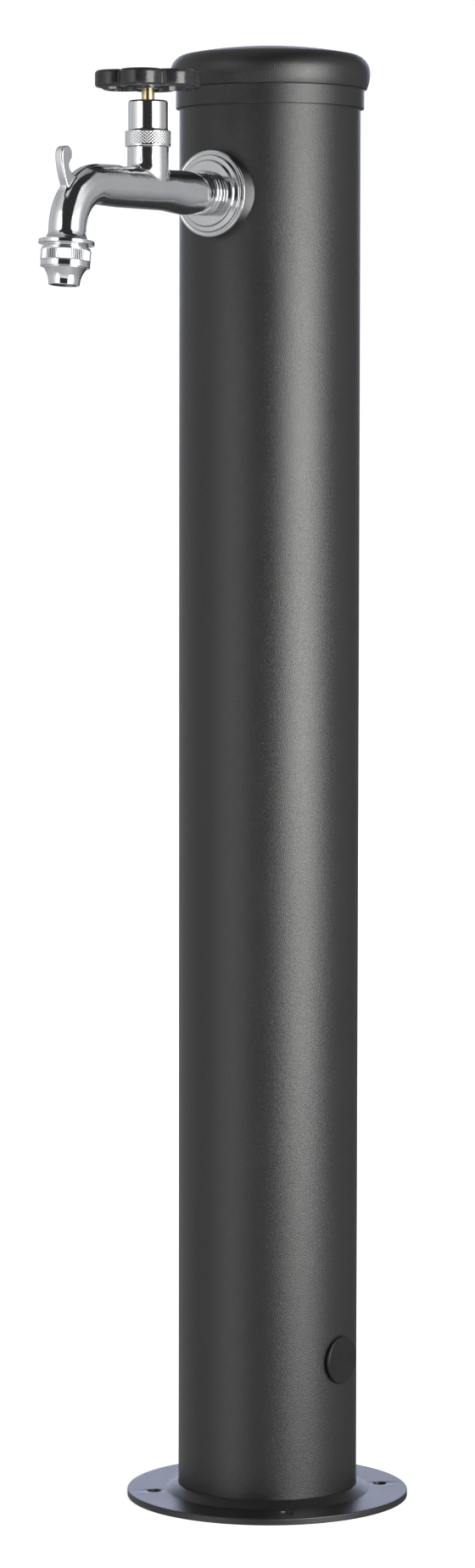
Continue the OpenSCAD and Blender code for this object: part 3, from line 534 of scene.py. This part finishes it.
def hook_outline():
    """The bucket hook's outline in the tap's own plane, as points (r, z)."""
    length = 24.6
    shares = [(-0.024, -0.22), (0.078, 0.017), (0.155, 0.196), (0.216, 0.387), (0.261, 0.578),
              (0.277, 0.77), (0.241, 0.925), (0.119, 1.005), (-0.032, 1.00), (-0.141, 0.90),
              (-0.154, 0.737), (-0.076, 0.627), (-0.036, 0.546), (-0.068, 0.42), (-0.182, 0.318),
              (-0.43, 0.098)]
    foot_r = BEND_R + 12.5
    a = math.radians(41)
    foot = np.array([BEND_START + foot_r * math.cos(a), TAP_Z - BEND_R + foot_r * math.sin(a)])
    p = np.array(shares) * length
    out = []
    n = len(p)
    for i in range(n):
        p0, p1, p2, p3 = p[i - 1], p[i], p[(i + 1) % n], p[(i + 2) % n]
        for t in np.arange(5) / 5:
            out.append(0.5 * (2 * p1 + (p2 - p0) * t + (2 * p0 - 5 * p1 + 4 * p2 - p3) * t ** 2
                              + (3 * p1 - p0 - 3 * p2 + p3) * t ** 3))
    return np.array(out) + foot


HOOK = hook_outline()
HOOK_HALF = 3.1      # half the hook plate's thickness
HOOK_EDGE = 1.25     # the rounding of its edge


def smooth_min(a, b, k):
    """The smaller of two distances, blended over k."""
    h = np.clip(0.5 + 0.5 * (b - a) / k, 0, 1)
    return b + (a - b) * h - k * h * (1 - h)


def smooth_step(t):
    t = np.clip(t, 0, 1)
    return t * t * (3 - 2 * t)


def polygon_distance(px, py, poly):
    """Signed distance to a closed outline, below zero inside."""
    best = np.full(px.shape, 1e9)
    inside = np.zeros(px.shape, bool)
    for (x0, y0), (x1, y1) in zip(poly, np.roll(poly, -1, 0)):
        ex, ey = x1 - x0, y1 - y0
        wx, wy = px - x0, py - y0
        t = np.clip((wx * ex + wy * ey) / (ex * ex + ey * ey), 0, 1)
        best = np.minimum(best, (wx - ex * t) ** 2 + (wy - ey * t) ** 2)
        slant = ex / (ey if abs(ey) > 1e-12 else 1e-12)
        inside ^= ((y0 > py) != (y1 > py)) & (px < x0 + (py - y0) * slant)
    return np.sqrt(best) * np.where(inside, -1, 1)


def tube_field(x, r, z):
    """Signed distance to the arm, elbow and spout, with the arm's tapers and swell, and a faint crest
    along the elbow's top."""
    v = z - TAP_Z
    radius = np.interp(r, [77.8, 119.65, 166, 186], [13.6, 13.25, 13.25, 12.55])
    wave = 0.10 * np.sin(r / 6.1) * np.sin(r / 15.0 + 1) * np.exp(-((v - 12) / 5) ** 2)
    belly = 1.6 * smooth_step((121 - r) / 26) * smooth_step((r - 74.5) / 10.5) * smooth_step(-v / 15)
    arm = np.where(r <= BEND_START, np.hypot(x, v) - radius - belly - wave, FAR)
    arm = np.maximum(arm, 75.0 - r)

    dr, dz = r - BEND_START, z - (TAP_Z - BEND_R)
    ring = np.hypot(dr, dz)
    angle = np.arctan2(dz, dr)
    part = (QUARTER - angle) / (QUARTER - LEAN)
    bend_radius = np.interp(part, [0, 0.3, 1], [12.55, 12.5, 12.0])
    bend = np.where((r > BEND_START) & (angle > LEAN), np.hypot(x, ring - BEND_R) - bend_radius, FAR)

    spout_end = 4.5
    ar, az = math.sin(LEAN), -math.cos(LEAN)
    s = (r - SPOUT_R) * ar + (z - SPOUT_Z) * az
    across = (r - SPOUT_R) * az - (z - SPOUT_Z) * ar
    spout_radius = np.interp(s, [3.0, 3.1, 3.6, spout_end], [12.0, 11.97, 12.0, 12.15])
    spout = np.maximum(np.hypot(x, across) - spout_radius, s - spout_end)
    spout = np.where((angle <= LEAN) & (r > BEND_START), spout, FAR)

    along = np.where(r <= BEND_START, r - BEND_START, BEND_R * np.clip(QUARTER - angle, 0, 2))
    up = np.where(r <= BEND_START, v, ring - BEND_R)
    crest = np.interp(along, [-25, -17, 0, 26, 32], [0, 0.55, 0.70, 0.75, 0])
    crest = crest * np.exp(-(x / 2.9) ** 8) * (up > 0) * (r > 150)
    return np.minimum(np.minimum(arm, bend), spout) - crest


def waterway(x, r, z):
    """Signed distance to the bores in the casting."""
    valve_r = np.hypot(x, r - VALVE_R)

    def level(radius, start, end, rise=0.0):
        """A bore along the arm from start to end, rise above its axis."""
        return np.maximum(np.hypot(x, z - TAP_Z - rise) - radius, np.maximum(start - r, r - end))

    def upright(radius, low, high=math.inf):
        """A bore along the valve's axis."""
        return np.maximum(valve_r - radius, np.maximum(low - z, z - high))

    ring = np.hypot(r - BEND_START, z - TAP_Z + BEND_R)
    bend = np.where(r >= BEND_START - 0.01, np.hypot(x, ring - BEND_R) - 7.9, FAR)
    return np.minimum.reduce([
        level(BORE_R, 0, 121.5),                   # from the column
        upright(9.4, 868), upright(10.25, 883.5),  # the chamber, and the thread for the headwork
        level(BORE_R, 144.5, BEND_START),          # to the spout
        level(4, 118, VALVE_R, rise=-7.0),         # under the seat
        upright(6, 859.5, 870),                    # the seat
        level(4.5, VALVE_R, 153, rise=4.5),        # over the seat
        np.maximum(bend, 830 - z)])


def body_field(x, r, z):
    """The whole casting: arm, elbow and spout, valve neck and hook plate, less the waterway."""
    dv = r - VALVE_R
    wobble = 0.05 * np.sin(z / 3.1 + 2.0 * np.arctan2(dv, x)) * np.clip((896 - z) / 6, 0, 1)
    neck_radius = np.interp(z - TAP_Z, [-1, 8], [12.6, 13.35])
    neck = np.maximum(np.hypot(x, dv) - neck_radius - wobble, np.maximum(z - NECK_TOP, 868 - z))
    fillet = (np.interp(z - TAP_Z, [3, 9, 13, 17], [0.5, 1.4, 4.2, 5.0])
              * np.interp(dv, [-14, 14], [1.25, 0.75]))
    d = smooth_min(tube_field(x, r, z), neck, fillet)
    near = (r > 198) & (r < 234) & (z > 856) & (z < 898) & (np.abs(x) < 9)
    if near.any():
        q0 = polygon_distance(r[near], z[near], HOOK) + HOOK_EDGE
        q1 = np.abs(x[near]) - HOOK_HALF + HOOK_EDGE
        plate = np.hypot(np.maximum(q0, 0), np.maximum(q1, 0)) + np.minimum(np.maximum(q0, q1), 0)
        plate = plate - HOOK_EDGE
        d[near] = smooth_min(d[near], plate, 1.6)
    return np.maximum(d, -waterway(x, r, z))


def cell_corner(values, offset, cells):
    """The values at one corner of every cell."""
    return values[tuple(slice(o, o + c) for o, c in zip(offset, cells))]


def slope(field, p, e=0.02):
    """The field's gradient at the points p."""
    steps = np.eye(3) * e
    return np.stack([(field(*(p + s).T) - field(*(p - s).T)) / (2 * e) for s in steps], 1)


def surface_net(field, lows, highs, h):
    """Points and faces of field = 0 by surface nets on a grid of spacing h, with the points moved on
    to the surface, and the surface's normals there."""
    grid = [np.arange(a, b + h, h) for a, b in zip(lows, highs)]
    shape = [len(a) for a in grid]
    values = np.empty(shape, np.float32)
    chunk = 24
    for i in range(0, shape[0], chunk):
        values[i:i + chunk] = field(*np.meshgrid(grid[0][i:i + chunk], grid[1], grid[2], indexing="ij"))
    inside = values < 0

    # one point in each cell that the surface crosses, at the mean of its crossings
    cells = [n - 1 for n in shape]
    total = np.zeros(cells + [3], np.float32)
    hits = np.zeros(cells, np.int16)
    for axis in range(3):
        others = [k for k in range(3) if k != axis]
        for u in (0, 1):
            for w in (0, 1):
                start = [0, 0, 0]
                start[others[0]], start[others[1]] = u, w
                end = list(start)
                end[axis] = 1
                a, b = cell_corner(values, start, cells), cell_corner(values, end, cells)
                cross = (a < 0) != (b < 0)
                hits += cross
                total[..., axis] += np.where(cross, a / np.where(cross, a - b, 1), 0)
                for k in others:
                    total[..., k] += np.where(cross, start[k], 0)
    live = hits > 0
    index = np.full(cells, -1, np.int64)
    index[live] = np.arange(live.sum())
    points = (np.argwhere(live) + total[live] / hits[live][:, None]) * h + np.array(lows)

    # one face for each grid edge that crosses the surface
    faces = []
    for axis in range(3):
        u, w = (axis + 1) % 3, (axis + 2) % 3
        first = [slice(1, n - 1) for n in shape]
        second = list(first)
        first[axis] = slice(0, shape[axis] - 1)
        second[axis] = slice(1, shape[axis])
        a, b = inside[tuple(first)], inside[tuple(second)]
        for flip, mask in ((False, a & ~b), (True, ~a & b)):
            at = np.argwhere(mask)
            at[:, [u, w]] += 1
            quad = []
            for du, dw in ((-1, -1), (0, -1), (0, 0), (-1, 0)):
                c = at.copy()
                c[:, u] += du
                c[:, w] += dw
                quad.append(index[c[:, 0], c[:, 1], c[:, 2]])
            quad = np.stack(quad, 1)
            faces.append(quad[:, ::-1] if flip else quad)

    # three steps down the slope, each held under 0.4 of a cell
    for _ in range(3):
        g = slope(field, points)
        move = -(field(*points.T) / np.maximum((g * g).sum(1), 0.2))[:, None] * g
        size = np.linalg.norm(move, axis=1, keepdims=True)
        points = points + move * np.minimum(1, 0.4 * h / np.maximum(size, 1e-9))
    g = slope(field, points)
    normals = g / np.maximum(np.linalg.norm(g, axis=1, keepdims=True), 1e-9)
    return points, np.concatenate(faces), normals


def tap_body():
    points, faces, normals = surface_net(body_field, (-15.5, 74, 838), (15.5, 230, 898.2), 0.55)
    # the field's r runs along the part's -y, so the faces turn round too
    mirror = np.array([1, -1, 1])
    piece("tap_casting", points * mirror, faces[:, ::-1], "chrome", "column", node="tap_body",
          normals=normals * mirror, finish="cast_chrome")

    shank = rounded([(BORE_R, 28), (13.2, 28, 0.6), (13.2, 70.9, 0.1), (13.0, 71.0)], steps=3)
    for bead_z in (72.7, 76.1):
        shank += arc(12.9, bead_z, 1.7, -1.45, 1.45, 13)
    lathe("tap_shank", shank + [(13.4, 78.2), (BORE_R, 78.2)], 160, "chrome", "column", ARM,
          closed=True, sharp=50, finish="turned_chrome")

    rim_r, rim_top, rim_foot = 17.8, 9.0, 11.6
    bell = [(11.7, 2.9)] + [(12.0 + 5.8 * (1 - math.cos(a)), 3.0 + 6.0 * math.sin(a))
                            for a in np.linspace(0, 1.42, 20)]
    bell += rounded([bell.pop(), (rim_r, rim_top, 0.6), (rim_r, rim_foot, 0.35), (14.1, rim_foot, 0.25),
                     (13.9, 12.2)], steps=5)
    root, pitch = 13.75, 1.81
    for k in range(5):
        z = 12.6 + pitch * k
        bell += [(root, z), (14.2, z + 0.45), (14.2, z + 0.95), (root, z + 1.4)]
    bell += rounded([(root, 21.5), (13.5, 21.7, 0.2), (BORE_R, 21.7, 0.3), (BORE_R, -2)], steps=3)
    lathe("spout_bell", bell, 160, "chrome", "column", SPOUT, sharp=38, finish="cast_chrome")


# Valve cover and wheel

def cover():
    ring_r, low, high = 14.75, 1.3, 9.4     # the knurled band
    rows, depth, cell = 42, 0.30, 1.95
    stem_r, bore_r = 12.75, 11.45
    foot = [(12.45, 0.15), (14.35, 0.15), (14.6, 0.24), (14.72, 0.48), (14.74, 0.9)]
    band = [(ring_r, z) for z in np.linspace(low, high, 46)] + [(14.74, 9.62), (14.66, 9.85)]
    flare = [(stem_r + 1.85 * (1 - math.sin(a)), 10.0 + 1.8 * (1 - math.cos(a)))
             for a in np.linspace(0, QUARTER, 10)]
    stem = [(stem_r, 12.6), (stem_r, 27.5)] + arc(11.25, 28.0, 1.5, 0, QUARTER, 9)
    top = [(11.1, 29.5), (4.7, 29.5), (4.5, 29.4), (4.45, 29.1), (4.45, 27.5)]
    inside = [(bore_r, 27.5), (bore_r, 6.5), (12.45, 6.0), (12.45, 0.4)]

    def knurl(angles, r, z):
        if r != ring_r:
            return r, z
        turns, rise = angles * rows / TAU, z / cell
        peak = (0.5 + 0.5 * np.cos(TAU * (turns + rise))) * (0.5 + 0.5 * np.cos(TAU * (turns - rise)))
        fade = min(1.0, (z - low) / 0.5, (high - z) / 0.5)
        return r - depth * (1 - peak ** 0.6) * max(0.0, fade), z

    lathe("bonnet_sleeve", foot + band + flare + stem + top + inside, 504, "chrome", "column", VALVE,
          closed=True, shift=knurl, sharp=42, node="bonnet_cover")


def wheel():
    n = 432
    foot_z, height = 37.0, 11
    lobe_at, lobe_r, recess_r = 20.5, 14.5, 10.5
    round_over = 2.4
    sixth = math.pi / 3
    offset = (np.arange(n) * TAU / n + math.radians(4) + sixth / 2) % sixth - sixth / 2

    def far_side(t, r):
        """The distance from the axis to a lobe circle's far side, at the angle t from the lobe."""
        return lobe_at * np.cos(t) + np.sqrt(np.maximum(r * r - (lobe_at * np.sin(t)) ** 2, 0))

    def lobed(inset):
        """The outline's distance from the axis, with the valleys between the lobes softened."""
        r = lobe_r - inset
        return -smooth_min(-far_side(offset, r), -far_side(sixth - np.abs(offset), r), 1.1)

    def recess(grow=0.0):
        """The outline of the hollow in the wheel's underside and top."""
        t, r = np.abs(offset), recess_r + grow
        reach = np.where(lobe_at * np.sin(t) < r, far_side(t, r), 0)
        return -smooth_min(-reach, -(lobe_at + grow), 1.2)

    quarter = np.linspace(0, QUARTER, 9)
    rings = [(4.2, 0.3), (4.5, 0.0), (6.6, 0.0), (6.9, 0.12), (7.0, 0.4), (7.0, 2.8), (7.15, 3.2), (7.6, 3.5),
             (10, 3.5), (recess(-0.8), 3.5), (recess(-0.25), 3.25), (recess(), 2.8), (recess(), 0.5),
             (recess(0.12), 0.15), (recess(0.5), 0.0)]
    rings += [(lobed(round_over * (1 - math.sin(t))), round_over * (1 - math.cos(t))) for t in quarter]
    rings += [(lobed(0), z) for z in (3.4, 5.5, 7.6)]
    rings += [(lobed(round_over * (1 - math.cos(t))), height - round_over + round_over * math.sin(t))
              for t in quarter]
    rings += [(recess(0.6), height), (recess(0.15), 10.85), (recess(), 10.5), (recess(), 8.2),
              (recess(-0.2), 7.7), (recess(-0.8), 7.5), (9, 7.5), (3.2, 7.5), (3.0, 7.3), (3.0, 2.3),
              (4.2, 2.3)]
    rings = [(r, z + foot_z) for r, z in rings]
    lathe("hand_wheel", rings, n, "wheel_black", "spindle", VALVE, closed=True, sharp=42, node="handwheel")


# Outlet

def union_nut():
    teeth, tooth_depth = 90, 0.42
    thread_r, seat_r, band_r = 14.25, 13.75, 15.9
    band_foot, band_top = 15.1, 22.0

    def serrate(angles, r, z):
        if not (band_foot + 0.05 < z < band_top - 0.05 and r > 15.8):
            return r, z
        t = (angles * teeth / TAU) % 1.0
        fade = min(1.0, (z - band_foot) / 0.5, (band_top - z) / 0.5)
        return r - tooth_depth * fade * (np.sqrt((2 * t - 1) ** 2 + 0.03) - 0.17), z

    profile = rounded([(thread_r, 13.6), (15.5, 13.6, 0.5), (15.5, 14.7, 0.2), (15.2, 14.85, 0.1),
                       (15.2, 15.05, 0.1), (band_r, 15.15, 0.25)], steps=4)
    profile += [(band_r, z) for z in (15.5, 15.7, 16.0, 18.5, 21.1, 21.4, 21.6)]
    profile += rounded([(band_r, 21.8), (band_r, 22.0, 0.15), (15.5, 22.1, 0.1), (15.5, 22.35, 0.1),
                        (15.75, 22.45, 0.15), (15.75, 26.0, 0.45), (seat_r, 26.0, 0.15),
                        (seat_r, 24.85, 0.05), (thread_r, 24.8, 0.05), (thread_r, 14.0)], steps=4)
    lathe("union_nut", profile, 720, "chrome", "outlet_nut", SPOUT, closed=True, shift=serrate,
          sharp=38, node="outlet_nut")


def nozzle():
    waist_r, end_z, bore_r = 9.75, 37.0, 6.5
    cove = [(waist_r + 1.3 * (1 - t) + 2.65 * max(0, 1 - t / 0.75) ** 1.9, 26.3 + 10.7 * t)
            for t in np.linspace(0, 0.985, 34)]
    collar = [(10.35, 23.2), (14.2, 23.2, 0.2), (14.2, 24.8, 0.15), (13.7, 24.8), (13.7, 26.2)]
    inside = [cove[-1], (waist_r, end_z, 0.45), (8.8, end_z, 0.2), (bore_r, 35.5, 0.4),
              (bore_r, 29.6, 1.0), (10.35, 25.7, 0.1), (10.35, 23.4)]
    profile = rounded(collar, steps=3) + cove + rounded(inside, steps=4)[1:]
    lathe("spout_nozzle", profile, 160, "chrome", "nozzle", SPOUT, closed=True, sharp=38, node="nozzle")


tube()
cap()
foot_plate()
side_plug()
rosette()
tap_body()
cover()
wheel()
union_nut()
nozzle()

# CAD nodes that stay, by their material
KEPT = {
    "brass": ("shank_backnut", "supply_elbow", "compression_nuts", "inlet_coupling", "headwork",
              "gland_nut", "spindle", "valve_jumper", "washer_nut"),
    "rubber": ("saddle_washer", "inner_saddle", "elbow_washer", "headwork_gasket", "valve_washer",
               "outlet_washer"),
    "copper_tube": ("compression_olives", "supply_pipe"),
    "steel": ("handwheel_washer", "handwheel_screw"),
    "white_plastic": ("gland_packing", "jet_insert"),
}
for slot, names in KEPT.items():
    for name in names:
        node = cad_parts[name]
        node.data.materials.clear()
        node.data.materials.append(MATERIALS[slot])

# Floor, 0.3 mm under the foot plate so that the two don't share a plane
FLOOR_HALF, FLOOR_Z = 8, -0.0003
floor_mesh = bpy.data.meshes.new("floor")
corners = [(x * FLOOR_HALF, y * FLOOR_HALF, FLOOR_Z) for x, y in ((-1, -1), (1, -1), (1, 1), (-1, 1))]
floor_mesh.from_pydata(corners, [], [(0, 1, 2, 3)])
floor = new_object("floor", floor_mesh)
# the floor's material glows as painted light, weaker near the object as painted shade
floor_mesh.materials.append(material("floor", glowing_floor, Roughness=0.7, Emission_Color=(1, 1, 1, 1)))
floor.visible_glossy = False

# Camera, as fitted to the photograph
HEADING = math.radians(36.3)
PITCH = math.radians(4.0853)
ROLL = math.radians(0.0899)
CAMERA_AT = (1.8138, -2.5044, 0.7016)
FOCAL_PX, PHOTO_HEIGHT, SENSOR = 5466.98, 1849, 36
right = Vector((math.cos(HEADING), math.sin(HEADING), 0))
nearer = Vector((math.sin(HEADING), -math.cos(HEADING), 0))
ahead = -nearer * math.cos(PITCH) - Vector((0, 0, math.sin(PITCH)))
side_axis = right * math.cos(ROLL) + right.cross(ahead) * math.sin(ROLL)
camera_data = bpy.data.cameras.new("camera")
camera_data.sensor_width = SENSOR
camera_data.sensor_height = SENSOR
camera_data.sensor_fit = "AUTO"
camera_data.lens = FOCAL_PX / PHOTO_HEIGHT * SENSOR
camera_data.clip_start = 0.05
camera_data.clip_end = 60
camera = new_object("camera", camera_data)
camera.matrix_world = axes(side_axis, side_axis.cross(ahead), -ahead, CAMERA_AT)
bpy.context.scene.camera = camera


def softbox(name, bearing, distance, height, size, radiance, colour):
    """An upright rectangular light that looks at the tap. Its bearing in degrees is counted from the
    camera's side of the column to the right, its distance from a point under the tap."""
    b = math.radians(bearing)
    toward = nearer * math.cos(b) + right * math.sin(b)
    data = bpy.data.lights.new(name, "AREA")
    data.shape = "RECTANGLE"
    data.size, data.size_y = size
    data.energy = radiance * math.pi * size[0] * size[1]
    data.color = colour
    light = new_object(name, data)
    x = Vector((0, 0, 1)).cross(toward).normalized()
    light.matrix_world = axes(x, toward.cross(x), toward, toward * distance + Vector((0, -0.08, height)))
    light.visible_camera = False


softbox("light_right", bearing=44.5, distance=1.35, height=0.62, size=(0.92, 1.25), radiance=8.3,
        colour=(1.0, 0.99, 0.97))

# Sky, by direction. A bearing in degrees is counted as the light's, and the second number of a stop is
# the screen value that a white surface would have there.
SKY_RIGHT, SKY_NEARER, SKY_UP = (0.8059, 0.5920, 0), (0.5920, -0.8059, 0), (0, 0, 1)
LEVEL = [(-180, 160), (-150, 157), (-123, 183), (-98, 173), (-84, 192), (-71, 217), (-60, 236), (-49, 248),
         (-37, 255), (-28, 250), (26, 255), (66, 255), (69, 239), (75, 214), (81, 195), (88, 172), (95, 161),
         (118, 160), (126, 112), (150, 100), (180, 120)]
UPPER = [(-180, 150), (-140, 150), (-100, 165), (-60, 205), (-33, 215), (24, 235), (60, 235), (72, 190),
         (90, 160), (118, 150), (128, 110), (180, 120)]
ZENITH = [(-180, 150), (-140, 150), (-100, 165), (-60, 190), (-33, 190), (-28, 44), (128, 44), (139, 120),
          (180, 150)]
GROUND = [(-180, 62), (-150, 62), (-125, 140), (-90, 166), (-30, 166), (0, 174), (28, 184), (60, 166),
          (95, 152), (125, 110), (150, 62), (180, 62)]
# Masks, from 0 to 1
FRONT = [(-180, 0), (-30.5, 0), (-28, 1), (24, 1), (26, 0), (180, 0)]
FILL = [(-180, 0), (-64, 0), (-54, 1), (-38, 1), (-31, 0), (180, 0)]
BACKDROP = [(-180, 1), (-166, 1), (-156, 0), (156, 0), (166, 1), (180, 1)]
FRONT_DARK = 45
FILL_COLOUR = (1.9, 1.9, 1.9, 1)
BACKDROP_COLOUR = (2.3, 2.55, 3.4, 1)
COOL = (0.985, 1.0, 1.02)

world = bpy.data.worlds.new("studio")
bpy.context.scene.world = world
world.use_nodes = True
w = Nodes(world.node_tree)
world_out = w.add("ShaderNodeOutputWorld")
direction = w.add("ShaderNodeTexCoord").outputs["Generated"]


def part_along(axis):
    n = w.add("ShaderNodeVectorMath", operation="DOT_PRODUCT")
    w.put(n, 0, direction)
    w.put(n, 1, axis)
    return n.outputs["Value"]


def tint(value):
    """The light behind a screen value. The darker parts of the sky are a little cool."""
    c = value / 255
    light = c / 12.92 if c <= 0.04045 else ((c + 0.055) / 1.055) ** 2.4
    return tuple(min(1.0, light / 0.85) * k for k in (COOL if value < 200 else (1, 1, 1)))


def row(stops):
    return w.ramp(around, [((b + 180) / 360, tint(v)) for b, v in stops])


def mask(at, stops):
    return w.ramp(at, [((b + 180) / 360, (v, v, v)) for b, v in stops])


def rise(low, high):
    """0 under an elevation in degrees, 1 over another."""
    return w.span(tall, (low + 90) / 180, (high + 90) / 180, 0, 1)


def between(rise_low, rise_high, fall_low, fall_high):
    """1 over the first pair of elevations and under the second, 0 outside both."""
    return w.math("MULTIPLY", rise(rise_low, rise_high),
                  w.math("SUBTRACT", 1.0, rise(fall_low, fall_high)))


bearing = w.math("DIVIDE", w.math("ARCTAN2", part_along(SKY_RIGHT), part_along(SKY_NEARER)), TAU)
around = w.math("ADD", bearing, 0.5)
tall = w.math("ADD", w.math("DIVIDE", w.math("ARCSINE", part_along(SKY_UP)), math.pi), 0.5)
sky = w.mix(rise(24, 34), w.mix(rise(-32, -8), row(GROUND), row(LEVEL)), row(UPPER))
# a dark strip in front that widens towards the zenith
spread = w.math("ADD", w.math("MULTIPLY", rise(12, 36), 0.60), w.math("MULTIPLY", rise(36, 56), 0.45))
spread = w.math("ADD", 1.0, spread)
front = mask(w.math("ADD", w.math("DIVIDE", bearing, spread), 0.5), FRONT)
front = w.math("MULTIPLY", front, rise(-13, -10))
# a bright panel beside the strip, and a bluish one behind
fill = w.math("MULTIPLY", mask(around, FILL), between(-35, -15, 24, 34))
sky = w.mix(fill, sky, FILL_COLOUR)
backdrop = w.math("MULTIPLY", mask(around, BACKDROP), between(1, 4, 13, 18))
sky = w.mix(rise(52, 58), w.mix(front, sky, (*tint(FRONT_DARK), 1)), row(ZENITH))
sky = w.mix(backdrop, sky, BACKDROP_COLOUR)

# The camera itself sees plain white behind the object
seen = w.add("ShaderNodeBackground")
w.put(seen, "Color", sky)
w.put(seen, "Strength", 1.0)
white = w.add("ShaderNodeBackground")
w.put(white, "Color", (1, 1, 1, 1))
w.put(white, "Strength", 1.1)
path = w.add("ShaderNodeLightPath")
pick = w.add("ShaderNodeMixShader")
w.put(pick, 0, path.outputs["Is Camera Ray"])
w.put(pick, 1, seen.outputs[0])
w.put(pick, 2, white.outputs[0])
w.link(pick.outputs[0], world_out.inputs[0])

# Highlights in the chrome are held down so that they stay clean
CLAMP = 1.25
bpy.context.scene.cycles.sample_clamp_direct = CLAMP
bpy.context.scene.cycles.sample_clamp_indirect = CLAMP
view = bpy.context.scene.view_settings
view.view_transform = "Standard"
view.look = "None"
view.exposure = 0
view.gamma = 1
